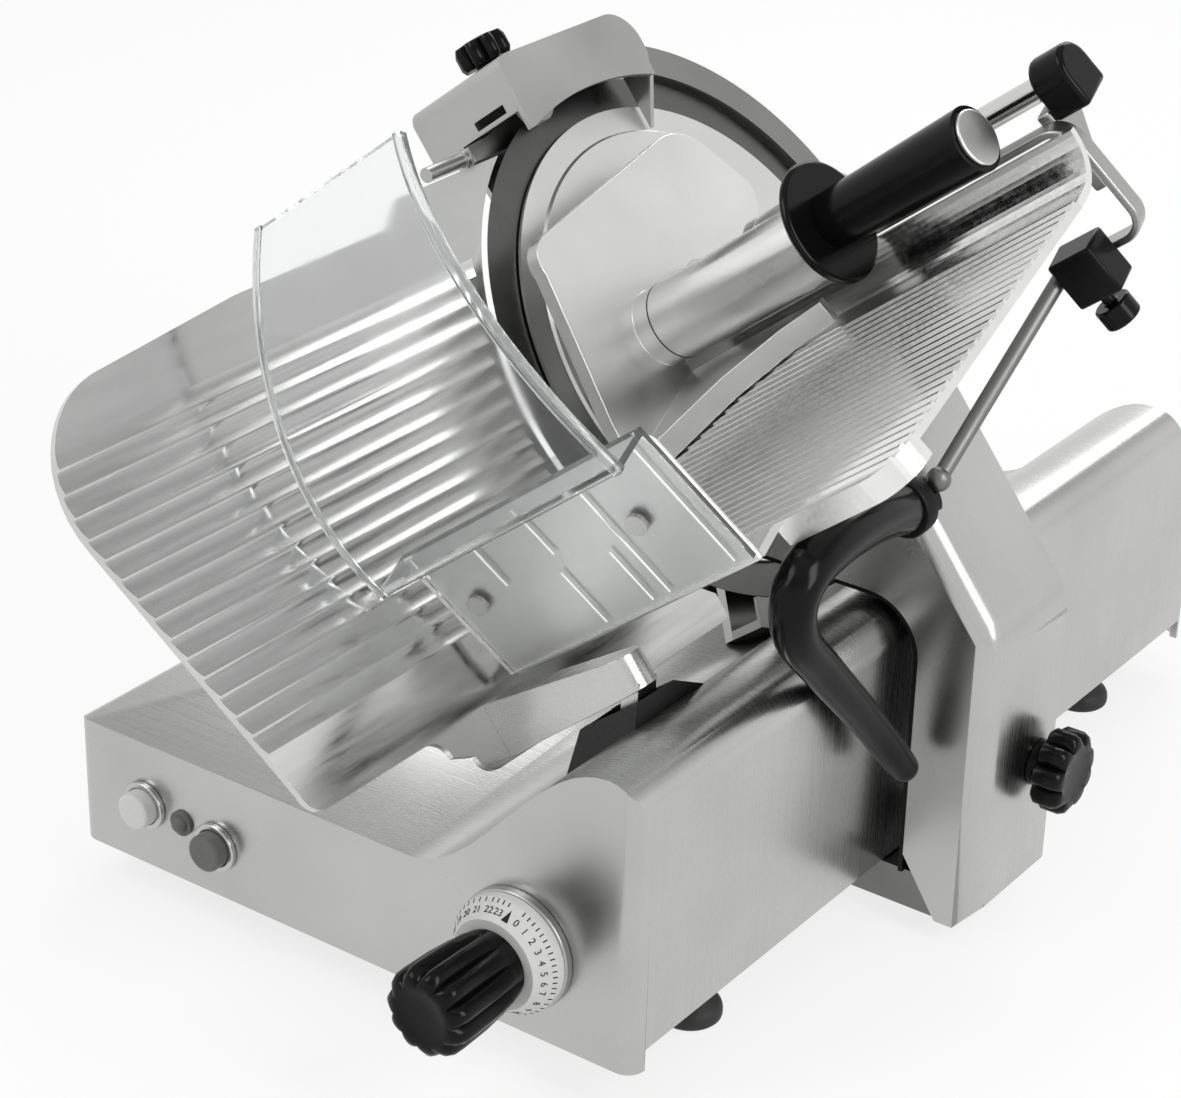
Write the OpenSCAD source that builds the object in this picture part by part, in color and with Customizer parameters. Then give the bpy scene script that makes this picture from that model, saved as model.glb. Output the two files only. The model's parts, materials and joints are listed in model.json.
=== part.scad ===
// Hand-pushed gravity-feed food slicer, millimetres, Z up.
// The origin is the middle of the base footprint, on the table. The control face looks along -Y,
// the carriage travels along Y, and its foot wraps round the tall side of the base at +X.
// Two tilted frames hold the working parts. In the feed frame, local x is the feed axis, square
// to the blade, y is the travel and z runs up the blade. The tray frame is the feed frame leaned
// over about the feed axis, so that its y runs up the tray floor and its z is square to the floor.

/* [Base] */
// Width of the base
base_w = 426; // [400:1:450]
// Length of the base along the travel
base_l = 684; // [660:1:720]
// Height of the rubber feet under the base
foot_h = 27; // [20:1:32]
// Top of the low deck above the table
deck_z = 113; // [105:1:118]
// Top of the tall side above the table
hump_z = 214; // [206:1:220]
// Wall of the base casting
base_wall = 5; // [4:0.5:6]
// Place where the deck starts to rise
ramp_x = 50; // [40:1:56]
// Round on the tall side's shoulder
shoulder_r = 22; // [14:1:30]
// Round on the upright corners of the base
corner_r = 12; // [8:1:20]
// Lower edge of the wall that the carriage reaches under
skirt_z = 41; // [38:1:44]
// Diameter of a rubber foot
rubber_d = 40; // [30:1:46]

/* [Blade] */
// Diameter of the blade
blade_d = 370; // [362:1:374]
// Tilt of the feed axis above the level
tilt = 38; // [37:0.5:39]
// Blade centre across the base
blade_x = -39; // [-42:1:-36]
// Blade centre along the travel
blade_y = 84; // [80:1:88]
// Blade centre above the table
blade_z = 277; // [274:1:282]
// Thickness of the blade
blade_t = 4; // [3:0.5:5]
// Diameter of the cover disc on the carriage side
cover_d = 324; // [312:1:330]
// Outer diameter of the ring guard
guard_d = 418; // [410:1:424]

/* [Slice thickness] */
// Travel of the gauge plate
gauge_travel = 23; // [12:1:23]
// Thickness of the gauge plate without its ribs
gauge_t = 7; // [6:0.5:8]
// Spacing of the gauge plate ribs
gauge_pitch = 13.6; // [12:0.2:16]
// Diameter of the fluted knob
knob_d = 56; // [48:1:60]
// Diameter of the numbered dial
dial_d = 74; // [68:1:78]

/* [Carriage] */
// Lean of the tray about the feed axis
lean = 20; // [19:0.5:21]
// Stroke towards the controls from the place shown
stroke_front = 110; // [80:1:110]
// Stroke away from the controls from the place shown
stroke_back = 195; // [150:1:195]
// Spacing of the tray ribs
tray_pitch = 8.4; // [7.6:0.2:10]
// Thickness of the tray floor
tray_t = 5; // [4:0.5:6]
// Length of the front wall along the feed
wall_l = 209; // [190:1:215]
// Height of the front wall over the floor
wall_h = 94; // [80:1:98]
// Inner radius of the clear guard
clear_r = 220; // [216:1:224]
// Thickness of the clear guard
clear_t = 4; // [3:0.5:5]
// Diameter of the main guide rod in the base
guide_d = 25; // [20:1:28]

/* [Pusher] */
// Travel of the pusher away from the blade
pusher_travel = 140; // [100:1:145]
// Diameter of the pusher arm
arm_d = 52; // [44:1:54]
// Diameter of the rod that carries the pusher
rod_d = 16; // [12:1:18]
// Diameter of the grip
grip_d = 42; // [34:1:46]
// Diameter of the disc at the foot of the grip
disc_d = 80; // [70:1:84]

/* [Hidden] */
$fn = 64;
// Overrun of the cuts
over = 1;
// Gap between pieces that move past each other
run_gap = 0.3;
// Radial clearance of a turning or sliding fit
fit = 0.05;
blade_r = blade_d / 2;
half_w = base_w / 2;
half_l = base_l / 2;
// Steps of a curved outline
arc_steps = 12;
quarter = 90;
half_turn = 180;

// Points along an arc, from one angle to another
function arc(x, y, r, a0, a1, steps = arc_steps) =
  [for (i = [0 : steps]) let(a = a0 + (a1 - a0) * i / steps) [x + r * cos(a), y + r * sin(a)]];

// Upright outline in x and z, drawn from y0 to y1
module slab(points, y0, y1)
  translate([0, y1, 0]) rotate([quarter, 0, 0]) linear_extrude(height = y1 - y0) polygon(points);
// Outline in local y and z, drawn from x0 to x1
module leaf(points, x0, x1)
  translate([x0, 0, 0]) rotate([quarter, 0, quarter]) linear_extrude(height = x1 - x0)
    polygon(points);
// Round bars along each axis
module bar_x(x0, x1, d) translate([x0, 0, 0]) rotate([0, quarter, 0]) cylinder(h = x1 - x0, d = d);
module bar_y(y0, y1, d) translate([0, y1, 0]) rotate([quarter, 0, 0]) cylinder(h = y1 - y0, d = d);
// Round bar from point a to point b
module bar(a, b, d) {
  v = b - a;
  len_v = norm(v);
  translate(a) rotate([0, acos(v[2] / len_v), atan2(v[1], v[0])]) cylinder(h = len_v, d = d);
}
module block(low, high) translate(low) cube(high - low);
// Tilted frames
module feed() translate([blade_x, blade_y, blade_z]) rotate([0, -tilt, 0]) children();
module tray() feed() rotate([lean, 0, 0]) children();
// Place of a point given in the feed frame
function from_feed(p) = [blade_x + p[0] * cos(tilt) - p[2] * sin(tilt), blade_y + p[1],
  blade_z + p[0] * sin(tilt) + p[2] * cos(tilt)];

// Base casting
ramp_steps = 18;
hump_x = half_w - shoulder_r;
rim_r = 7;
function base_outline(g) = concat(
  [[-half_w + g, foot_h - over * g]],
  arc(-half_w + g + rim_r, deck_z - g - rim_r, rim_r, half_turn, quarter),
  [for (i = [0 : ramp_steps]) [ramp_x + (hump_x - ramp_x) * i / ramp_steps,
    deck_z - g + (hump_z - deck_z) * (1 - cos(half_turn * i / ramp_steps)) / 2]],
  arc(hump_x, hump_z - shoulder_r, shoulder_r - g, quarter, 0),
  [[half_w - g, foot_h - over * g]]);
// Slot that the carriage arm reaches through
slot_in = 75;
slot_x = half_w - slot_in;
// Hole in the deck under the blade housing, for the belt
belt_hole = [-8, 30];
belt_room = 46;
// Hole in the ramp for the gauge post
post_in = 73;
post_x = half_w - post_in;
post_y = -242;
post_w = 12;
post_l = 18;
post_room = 3;
post_z = 218;
post_dx = gauge_travel * cos(tilt);
post_dz = gauge_travel * sin(tilt);
// Controls on the front face
button_d = 24;
button_in = [57, 115];
button_x = [-half_w + button_in[0], -half_w + button_in[1]];
button_z = [70, 62];
button_stroke = 3;
button_out = 13;
bezel_d = 32;
bezel_t = 4;
lamp_x = (button_x[0] + button_x[1]) / 2 + button_d / 24;
lamp_z = 68;
lamp_d = 11;
dial_in = 81;
dial_x = half_w - dial_in;
dial_z = 84;
spindle_d = 14;
// Floor brackets that carry the right-hand feet under the guide rods
foot_in = 33;
feet_x = half_w - foot_in;
bracket_l = 44;
bracket_w = 55;
bracket_x = half_w - bracket_w;
stop_gap = [27, 22];
foot_y = [-77, 11];
feet_y = [foot_y[0] - stroke_front - stop_gap[0] - bracket_l / 2,
  foot_y[1] + stroke_back + stop_gap[1] + bracket_l / 2];
module base_housing() color("silver") {
  base_shell();
  for (y = feet_y) block([bracket_x, y - bracket_l / 2, skirt_z],
    [half_w - base_wall / 2, y + bracket_l / 2, skirt_z + base_wall]);
}
// The back end stands upright to back_z and leans forward above it
back_z = 80;
back_lean = 45;
function side_outline(g) = [[-half_l + g, 0], [half_l - g, 0], [half_l - g, back_z],
  [half_l - g - back_lean, hump_z], [-half_l + g, hump_z]];
module footprint(g) linear_extrude(height = hump_z)
  polygon(concat(arc(half_w - corner_r, half_l - corner_r, corner_r - g, 0, quarter),
    arc(-half_w + corner_r, half_l - corner_r, corner_r - g, quarter, half_turn),
    arc(-half_w + corner_r, -half_l + corner_r, corner_r - g, half_turn, half_turn + quarter),
    arc(half_w - corner_r, -half_l + corner_r, corner_r - g, half_turn + quarter, 2 * half_turn)));
module base_shell() difference() {
  intersection() {
    slab(base_outline(0), -half_l, half_l);
    translate([0, 0, foot_h]) footprint(0);
    leaf(side_outline(0), -half_w, half_w);
  }
  intersection() {
    slab(base_outline(base_wall), -half_l + base_wall, half_l - base_wall);
    translate([0, 0, foot_h - over]) footprint(base_wall);
    leaf(side_outline(base_wall), -half_w, half_w);
  }
  block([slot_x, -half_l + corner_r, foot_h - over],
    [half_w + over, half_l - corner_r, skirt_z]);
  block([belt_hole[0], blade_y - belt_room, deck_z - base_wall - over],
    [belt_hole[1], blade_y + belt_room, deck_z + over]);
  block([post_x - post_w / 2 - post_room - post_dx, post_y - post_l / 2 - post_room,
      deck_z - base_wall - over],
    [post_x + post_w / 2 + post_room, post_y + post_l / 2 + post_room, hump_z + over]);
  for (i = [0, 1]) translate([button_x[i], 0, button_z[i]])
    bar_y(-half_l - over, -half_l + base_wall + over, button_d + 2 * fit);
  translate([lamp_x, 0, lamp_z]) bar_y(-half_l - over, -half_l + base_wall + over, lamp_d);
  translate([dial_x, 0, dial_z])
    bar_y(-half_l - over, -half_l + base_wall + over, spindle_d + 2 * fit);
  translate([gland_x, 0, gland_z])
    bar_y(half_l - base_wall - over, half_l + over, gland_d);
}
cover_t = 3;
module underside_cover() color("gray") block([-half_w + corner_r, -half_l + corner_r, foot_h],
    [slot_x - base_wall, half_l - corner_r, foot_h + cover_t]);
module rubber_feet() color("black") for (x = [-feet_x, feet_x], y = feet_y)
  translate([x, y, 0]) {
    cylinder(h = foot_h / 3, d = rubber_d);
    translate([0, 0, foot_h / 3]) cylinder(h = foot_h / 3, d1 = rubber_d, d2 = rubber_d / 2);
    cylinder(h = (x > 0 ? skirt_z : foot_h), d = rubber_d / 2);
  }
gland_in = 63;
gland_x = -half_w + gland_in;
gland_z = 66;
gland_d = 18;
gland_out = 16;
gland_nut_share = 1.4;
module inlet_gland() color("black") translate([gland_x, 0, gland_z]) difference() {
  union() {
    bar_y(half_l - base_wall, half_l, gland_d);
    bar_y(half_l, half_l + gland_out / 2, gland_d * gland_nut_share);
    bar_y(half_l, half_l + gland_out, gland_d);
  }
  bar_y(half_l - base_wall - over, half_l + gland_out + over, gland_d / 2);
}

// Push buttons, each in a round bezel, and the lamp between them
module bezel(i) translate([button_x[i], 0, button_z[i]]) difference() {
  bar_y(-half_l - bezel_t, -half_l, bezel_d);
  bar_y(-half_l - bezel_t - over, -half_l + over, button_d + 2 * fit);
}
module button(i) translate([button_x[i], 0, button_z[i]]) {
  bar_y(-half_l - button_out, -half_l + base_wall + over, button_d);
  bar_y(-half_l + base_wall + run_gap, -half_l + base_wall + bezel_t, bezel_d);
}
module off_bezel() color("silver") bezel(0);
module on_bezel() color("silver") bezel(1);
module off_button() color("whitesmoke") button(0);
module on_button() color("gray") button(1);
lamp_rim_share = 1.5;
module indicator_lamp() color("gray") translate([lamp_x, 0, lamp_z]) {
  bar_y(-half_l, -half_l + base_wall + bezel_t, lamp_d);
  bar_y(-half_l - bezel_t / 2, -half_l, lamp_d * lamp_rim_share);
  translate([0, -half_l - bezel_t / 2, 0]) sphere(d = lamp_d);
}

// Thickness control: bezel, numbered dial and knob turn a spindle with a cam
bezel_depth = 6;
dial_depth = 18;
knob_l = 66;
flutes = 11;
module dial_bezel() color("silver") translate([dial_x, 0, dial_z]) difference() {
  bar_y(-half_l - bezel_depth, -half_l, dial_d + 8 * run_gap);
  bar_y(-half_l - bezel_depth - over, -half_l + over, spindle_d + 2 * fit);
}
dial_y = -half_l - bezel_depth - run_gap;
module numbered_dial() color("whitesmoke") translate([dial_x, dial_y, dial_z])
  rotate([quarter, 0, 0]) rotate_extrude() polygon([[spindle_d / 2, 0], [dial_d / 2, 0],
    [dial_d / 2, dial_depth / 3], [knob_d / 2 + run_gap, dial_depth], [spindle_d / 2, dial_depth]]);
knob_core_share = 0.86;
knob_flute_share = 0.42;
module thickness_knob() color("black") translate([dial_x, dial_y - dial_depth, dial_z])
  rotate([quarter, 0, 0]) {
    cylinder(h = knob_l, d = knob_d * knob_core_share);
    for (i = [0 : flutes - 1]) rotate(i * 2 * half_turn / flutes)
      translate([knob_d * knob_flute_share, 0, 0]) cylinder(h = knob_l - knob_d / 8, d = knob_d / 7, $fn = 24);
  }
cam_y = post_y;
cam_d = 48;
cam_t = 10;
module gauge_cam() color("silver") translate([dial_x, 0, dial_z]) {
  bar_y(dial_y, cam_y + cam_t, spindle_d);
  bar_y(cam_y - cam_t / 2, cam_y + cam_t / 2, cam_d);
}

// Gauge slide inside the tall side, on two rods square to the blade
rail_d = 12;
rail_half = 50;
rail_in = 91;
rail_x = half_w - rail_in;
rail_z = 124;
rail_gap = 22;
rail_split = 8;
rail_end = 8;
rail_block = 9;
slider = [-18, 30];
slider_h = 22;
follower_z = [78, 126];
follower_w = 11;
module at_rails() translate([rail_x, post_y, rail_z]) rotate([0, -tilt, 0]) children();
module rail_rods(reach, d) at_rails() for (y = [-rail_gap, rail_gap]) translate([0, y, 0])
  bar_x(-reach, reach, d);
// Side view of the rail blocks with their foot and their hanger, inside the housing
module rail_side() intersection() {
  union() {
    for (e = [-rail_half, rail_half]) translate([rail_x, rail_z]) rotate(tilt)
      translate([e - rail_end / 2, -rail_block]) square([rail_end, rail_block * 2]);
    translate([rail_x - rail_half * cos(tilt) - rail_end, foot_h + cover_t])
      square([rail_end * 2, rail_z - rail_half * sin(tilt) - foot_h - cover_t]);
    translate([rail_x + rail_half * cos(tilt) - rail_end, rail_z + rail_half * sin(tilt)])
      square([rail_end * 2, hump_z - rail_z - rail_half * sin(tilt)]);
  }
  polygon(base_outline(base_wall));
}

module gauge_rails() color("lightgray") {
  for (side = [-1, 1]) {
    y0 = post_y + side * (rail_gap + rail_d + rail_split) / 2;
    y_half = (rail_gap + rail_d - rail_split) / 2;
    translate([0, y0 + y_half, 0]) rotate([90, 0, 0]) linear_extrude(y_half * 2) rail_side();
  }
  rail_rods(rail_half, rail_d);
}

// Gauge plate outline in the feed frame, in y and z
plate_gap = 3;
plate_r = blade_r + plate_gap;
plate_left = [-543, 70];
plate_low = [-497, -121];
plate_top = [148, 163];
plate_rise = [-358, -215, -195];
plate_notch = [-396, -366];
plate_foot = -169;
plate_right = -112;
plate_inner = -40;
plate_round = 70;
plate_bend = [195, 97];
notch_r = 14;
rib_h = 2.6;
rib_land = 8;
rib_share = 0.85;
rib_steps = 5;
rib_top = 112;
rib_low = -104;
rib_rows = floor((rib_top - rib_low) / gauge_pitch);
plate_face = -1;
rib_base = plate_face - rib_h;
plate_outline = concat(
  arc(plate_left[0] + plate_round, plate_left[1], plate_round, plate_bend[0], plate_bend[1]),
  [[plate_rise[0], plate_top[0]], [plate_rise[1], plate_top[0]], [plate_rise[2], plate_top[1]],
    [plate_inner, plate_top[1]], [plate_inner, 0], [plate_right, 0], [plate_right, plate_foot]],
  arc(plate_notch[1] + notch_r, plate_foot + notch_r, notch_r, -quarter, -half_turn),
  arc(plate_notch[0], plate_low[1] - 2 * notch_r, notch_r, 0, quarter),
  arc(plate_low[0] + notch_r, plate_low[1], notch_r, -quarter, -half_turn));
// Section of the ribs, in x and z: each swells downward to a crest and steps back
rib_section = concat([[rib_base - over, rib_low], [rib_base - over, rib_top]],
  [for (i = [1 : rib_rows]) let(z = rib_top - i * gauge_pitch) each concat(
    [for (k = [rib_steps : -1 : 0]) [rib_base + rib_h * (1 - k / rib_steps) ^ 2,
      z + gauge_pitch * rib_share * k / rib_steps]], [[rib_base, z]])],
  [[rib_base, rib_low]]);
module gauge_plate() color("silver") feed() difference() {
  union() {
    leaf(plate_outline, plate_face - gauge_t, rib_base);
    difference() {
      intersection() {
        leaf(plate_outline, rib_base - over, plate_face + over);
        slab(rib_section, plate_left[0] - over, 0);
      }
      bar_x(rib_base, gauge_t, 2 * (plate_r + rib_land));
    }
  }
  bar_x(-gauge_t * 4, gauge_t, 2 * plate_r);
}
// Cast arm from the plate out over the ramp, and the post and slider that carry it
gauge_arm_y = [-341, -311];
gauge_arm_n = 111;
gauge_arm_top = [-132, -142];
gauge_arm_low = [-167, -163];
gauge_arm_r = (gauge_arm_y[1] - gauge_arm_y[0]) / 2;
module gauge_bracket() color("silver") {
  feed() intersection() {
    slab([[rib_base, gauge_arm_low[0]], [gauge_arm_n, gauge_arm_low[1]],
      [gauge_arm_n, gauge_arm_top[1]], [rib_base, gauge_arm_top[0]]],
      gauge_arm_y[0], gauge_arm_y[1]);
    translate([0, 0, gauge_arm_low[0] - over])
      linear_extrude(height = gauge_arm_top[0] - gauge_arm_low[0] + 2 * over)
        polygon(concat([[rib_base, gauge_arm_y[1]], [rib_base, gauge_arm_y[0]]],
          arc(gauge_arm_n - gauge_arm_r, gauge_arm_y[0] + gauge_arm_r, gauge_arm_r, -quarter, quarter)));
  }
  difference() {
    union() {
      block([post_x - post_w / 2, post_y - post_l / 2, rail_z],
        [post_x + post_w / 2, post_y + post_l / 2, post_z]);
      at_rails() block([slider[0], -rail_gap - rail_d, -slider_h / 2],
        [slider[1], rail_gap + rail_d, slider_h / 2]);
      block([dial_x - cam_d / 2 - run_gap - follower_w, cam_y - cam_t / 2, follower_z[0]],
        [dial_x - cam_d / 2 - run_gap, cam_y + cam_t / 2, follower_z[1]]);
    }
    rail_rods(rail_half * 2, rail_d + 2 * fit);
  }
}
// Rubber boot on the ramp round the post, its top parallel to the feed axis
boot_x = [97, 113, 152];
boot_gap = 1.5;
boot_y = [-349, -345, -309, -257, -250];
boot_m = [-215, -189];
// Height of a plane square to the blade plane, at height m in the feed frame
function plane_z(x, m) = blade_z + (x - blade_x) * tan(tilt) + m / cos(tilt);
boot_top = gauge_arm_low[0] - boot_gap;
module rubber_boot() color("black") difference() {
  intersection() {
    slab([[boot_x[0], deck_z], [boot_x[2], deck_z], [boot_x[2], plane_z(boot_x[2], boot_top)],
      [boot_x[1], plane_z(boot_x[1], boot_top)]], -half_l, half_l);
    feed() leaf([[boot_y[0], boot_m[0]], [boot_y[1], boot_top], [boot_y[2], boot_top],
      [boot_y[3], boot_m[1]], [boot_y[4], boot_m[0]]], -half_l, half_l);
  }
  slab(base_outline(0), -half_l, half_l);
  block([post_x - post_w / 2 - post_room - post_dx, post_y - post_l / 2 - post_room,
      deck_z - 2 * over], [post_x + post_w / 2 + post_room, post_y + post_l / 2 + post_room,
      hump_z + over]);
}

// Drive: a motor in the tall side, and a belt up to the blade spindle
motor_m = -240;
motor_d = 72;
motor_n = [-30, 70];
motor_cap = 6;
motor_foot = [78, 118];
motor_shaft_d = 12;
belt_n = [-66, -54];
pulley_small = 30;
pulley_large = 76;
pulley_lip = 2;
spindle_blade_d = 20;
belt_t = 4;
motor_cap_share = 0.7;
module motor() color("dimgray") {
  feed() translate([0, 0, motor_m]) {
    bar_x(motor_n[0], motor_n[1], motor_d);
    bar_x(motor_n[1], motor_n[1] + motor_cap, motor_d * motor_cap_share);
  }
  block([motor_foot[0], blade_y - motor_d / 3, foot_h + cover_t],
    [motor_foot[1], blade_y + motor_d / 3, skirt_z + base_wall * 2]);
}
module motor_pulley() color("silver") feed() translate([0, 0, motor_m]) {
  bar_x(belt_n[0], motor_n[0] - run_gap, motor_shaft_d);
  bar_x(belt_n[0], belt_n[1], pulley_small);
}
// Belt: the band between two tangent loops
belt_in = [pulley_large / 2 + run_gap, pulley_small / 2 + run_gap];
belt_steps = 36;
module belt_loop(grow, n0, n1) {
  r0 = belt_in[0] + grow;
  r1 = belt_in[1] + grow;
  lean_a = asin((r0 - r1) / -motor_m);
  leaf(concat(arc(0, 0, r0, -lean_a, half_turn + lean_a, belt_steps),
    arc(0, motor_m, r1, half_turn + lean_a, 2 * half_turn - lean_a, belt_steps)), n0, n1);
}
module drive_belt() color("black") feed() difference() {
  belt_loop(belt_t, belt_n[0] + run_gap, belt_n[1] - run_gap);
  belt_loop(0, belt_n[0] - over, belt_n[1] + over);
}
module blade_pulley() color("silver") feed() difference() {
  bar_x(belt_n[0], belt_n[1], pulley_large);
  bar_x(belt_n[0] - over, belt_n[1] + over, spindle_blade_d);
}
module blade_spindle() color("silver") feed() bar_x(belt_n[0], 0, spindle_blade_d);

// A ring section about the feed axis, between two angles from +y towards +z
module spin(a0, a1) rotate([quarter, 0, quarter]) rotate(a0) rotate_extrude(angle = a1 - a0)
  children();
module ring_profile(r0, r1, n0, n1) translate([r0, n0]) square([r1 - r0, n1 - n0]);
guard_r = guard_d / 2;
cover_r = cover_d / 2;
guard_a = [-118, 66];
web_top_a = 80;
tongue_r = 170;
web_n = [-30, -22];
guard_n = [2, 5];
guard_in = blade_r + plate_gap;
guard_wall = 6;
cover_step = 17;
cover_flat_r = cover_r - cover_step;
step_n = 4;
cover_hub_r = 30;
cover_n = [1.5, 6];
housing_n = [-74, -8];
hub_r = 30;
housing_wall = 4;
bevel = 22;
edge_n = [-1.5, -1];
// Side of a large block, enough to cut anything away
beyond = 900;
module blade() color("gainsboro") feed() rotate([quarter, 0, quarter]) rotate_extrude()
  polygon([[spindle_blade_d / 2, -blade_t], [blade_r - bevel, -blade_t], [blade_r, edge_n[0]],
    [blade_r, edge_n[1]], [blade_r - bevel, 0], [spindle_blade_d / 2, 0]]);
module blade_cover() color("silver") feed() rotate([quarter, 0, quarter]) rotate_extrude()
  polygon([[0, run_gap], [cover_hub_r, run_gap], [cover_hub_r, cover_n[0]], [cover_r, cover_n[0]],
    [cover_r, step_n], [cover_flat_r, step_n], [cover_flat_r - cover_n[0], cover_n[1]],
    [0, cover_n[1]]]);
module ring_guard() color("silver") difference() {
  feed() {
    rotate([quarter, 0, quarter]) rotate(guard_a[0]) rotate_extrude(angle = guard_a[1] - guard_a[0])
      polygon([[guard_in, guard_n[0]], [guard_r - guard_wall, guard_n[0]],
        [guard_r - guard_wall, web_n[1]], [guard_r, web_n[1]], [guard_r, guard_n[1]],
        [guard_in, guard_n[1]]]);
  }
  slab(base_outline(0), -half_l, half_l);
}
// The web starts inside the drum, and its tongue carries the hood
web_in = 40;
tongue_back = [web_n[0], web_n[1] - over];
module blade_housing() color("silver") difference() {
  feed() difference() {
    union() {
      spin(guard_a[0], guard_a[1]) ring_profile(web_in, guard_r, web_n[0] + over, web_n[1]);
      spin(guard_a[1] - 2 * over, web_top_a)
        ring_profile(web_in, tongue_r, tongue_back[0], tongue_back[1]);
      bar_x(web_n[0], housing_n[1], 2 * hub_r);
      belt_loop(belt_t + 2 * housing_wall, housing_n[0], web_n[1] - 2 * over);
    }
    bar_x(housing_n[0] - over, housing_n[1] + over, spindle_blade_d + 2 * fit);
    belt_loop(belt_t + housing_wall / 2, belt_n[0] - housing_wall, belt_n[1] + housing_wall);
  }
  slab(base_outline(0), -half_l, half_l);
  block([-half_w, -half_l, 0], [half_w, half_l, deck_z]);
}

// Sharpener hood over the top of the blade, with its stones parked clear of the edge
hood_n = [-60, 30];
hood_wall = 4;
hood_seat_r = 152;
hood_seat_a = [68, 124];
hood_left = -90;
hood_round = [10, 24];
hood_right = 52;
hood_top = 217;
hood_low = [180, 184];
hood_tip = [-86, 166, 44, 168];
hood_dip = [-17, 177, 230];
hood_lip_y = [44, 48];
hood_lip_n = [7, 28];
hood_lip_m = [138, 168];
hood_slot_n = [-12, 17];
hood_slot_m = [183, 189];
function hood_crown(g, low) = concat([[hood_left + g, low]],
  arc(hood_left + hood_round[0], hood_top - hood_round[0], hood_round[0] - g, half_turn, quarter),
  arc(hood_right - hood_round[1], hood_top - hood_round[1], hood_round[1] - g, quarter, 0),
  [[hood_right - g, hood_low[1]]]);
// Hollow lower edge of the front, an arc between its two tips
hood_edge = arc(hood_dip[0], hood_dip[1] - hood_dip[2], hood_dip[2],
  acos((hood_tip[2] - hood_dip[0]) / hood_dip[2]), acos((hood_tip[0] - hood_dip[0]) / hood_dip[2]));
hood_inner = hood_crown(hood_wall, hood_low[0]);
stone_d = 28;
stone_t = 9;
stone_y = [-52, -12];
stone_z = [184, 188];
stone_n = [3, -16];
stone_pin = 7;
module sharpener_hood() color("silver") feed() difference() {
  union() {
    leaf(concat(hood_crown(0, hood_tip[1]), hood_edge), hood_n[1] - hood_wall, hood_n[1]);
    leaf(hood_crown(0, hood_low[0]), hood_n[0], hood_n[0] + hood_wall);
    leaf(concat(hood_crown(0, hood_low[0]), arc(0, 0, hood_seat_r, hood_seat_a[0], hood_seat_a[1])),
      web_n[0] - hood_wall, web_n[0]);
    leaf(concat(hood_crown(0, hood_low[0]),
      [for (i = [len(hood_inner) - 1 : -1 : 0]) hood_inner[i]]), hood_n[0], hood_n[1]);
    slab([[hood_lip_n[0], hood_lip_m[0]], [hood_lip_n[1], hood_lip_m[1]], [hood_n[1], hood_lip_m[1]],
      [hood_n[1], hood_low[1] + hood_wall], [hood_lip_n[0], hood_low[1] + hood_wall]],
      hood_lip_y[0], hood_lip_y[1]);
  }
  block([hood_slot_n[0], hood_left - over, hood_slot_m[0]],
    [hood_slot_n[1], hood_left + hood_wall + over, hood_slot_m[1]]);
  translate([knob_top_n, knob_top_y, 0]) cylinder(h = beyond, d = knob_stem_d + 2 * fit);
}
// Tapered spout beside the hood, seated on the hood's inner wall
spout_y = [-56, -80, -104, -143];
spout_m = [184, 179, 177, 166];
spout_n = [-14, -22];
spout_d = [13, 10];
spout_axis = 171.5;
module deflector_spout() color("silver") feed() {
  leaf([[spout_y[0], spout_m[3]], [spout_y[0], spout_m[0]], [spout_y[1], spout_m[1]],
    [spout_y[2], spout_m[2]], [spout_y[2], spout_m[3]]], web_n[0], spout_n[0]);
  translate([spout_n[1], 0, spout_axis]) {
    bar_y(spout_y[2] - spout_d[1] / 3, spout_y[2], spout_d[0]);
    bar_y(spout_y[3], spout_y[2], spout_d[1]);
  }
}
module sharpener_stones() color("gray") feed() for (i = [0, 1])
  translate([stone_n[i], stone_y[i], stone_z[i]]) {
    bar_x(0, stone_t, stone_d);
    translate([stone_t / 2, 0, 0])
      cylinder(h = hood_top - hood_wall - stone_z[i] - run_gap, d = stone_pin);
  }
knob_top_n = -14;
knob_top_y = -46;
knob_stem_d = 10;
knob_top_d = 38;
knob_top_h = 18;
knob_top_lift = 5;
star_core_share = 0.78;
star_lobe_share = 0.22;
module star(d, h, lobes) {
  cylinder(h = h, d = d * star_core_share);
  for (i = [0 : lobes - 1]) rotate(i * 2 * half_turn / lobes)
    translate([d * star_core_share / 2, 0, 0]) cylinder(h = h, d = d * star_lobe_share, $fn = 24);
}
module sharpener_knob() color("black") feed() translate([knob_top_n, knob_top_y, hood_top]) {
  translate([0, 0, -hood_wall * 3]) cylinder(h = hood_wall * 3 + knob_top_lift, d = knob_stem_d);
  translate([0, 0, knob_top_lift]) star(knob_top_d, knob_top_h, 8);
}

// Carriage guide rods in the tall side, and the block that slides on them
guide_in = 37;
guide_x = half_w - guide_in;
guide_z = 60;
side_rod_d = 10;
side_rod_gap = 27;
side_rod_x = guide_x - side_rod_gap;
side_rod_z = 50;
foot_plate = 5;
block_half = [16, 26];
block_x = [guide_x - block_half[0], guide_x + block_half[1]];
block_z = [42, 78];
wing_w = 20;
wing_x = block_x[0] - wing_w;
wing_z = 58;
arm_low = 12;
arm_high = 38;
foot_reach = 67;
foot_out = half_w + foot_reach;
arm_inset = 18;
arm_out = foot_out - arm_inset;
riser_w = 22;
riser_x = arm_out - riser_w;
riser_z = 150;
lock_bolt_d = 10;
lock_y = -10;
lock_z = 106;
module guide_rods() color("silver") {
  translate([guide_x, 0, guide_z]) bar_y(-half_l + base_wall, half_l - base_wall, guide_d);
  translate([side_rod_x, 0, side_rod_z])
    bar_y(-half_l + base_wall, half_l - base_wall, side_rod_d);
}
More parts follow.
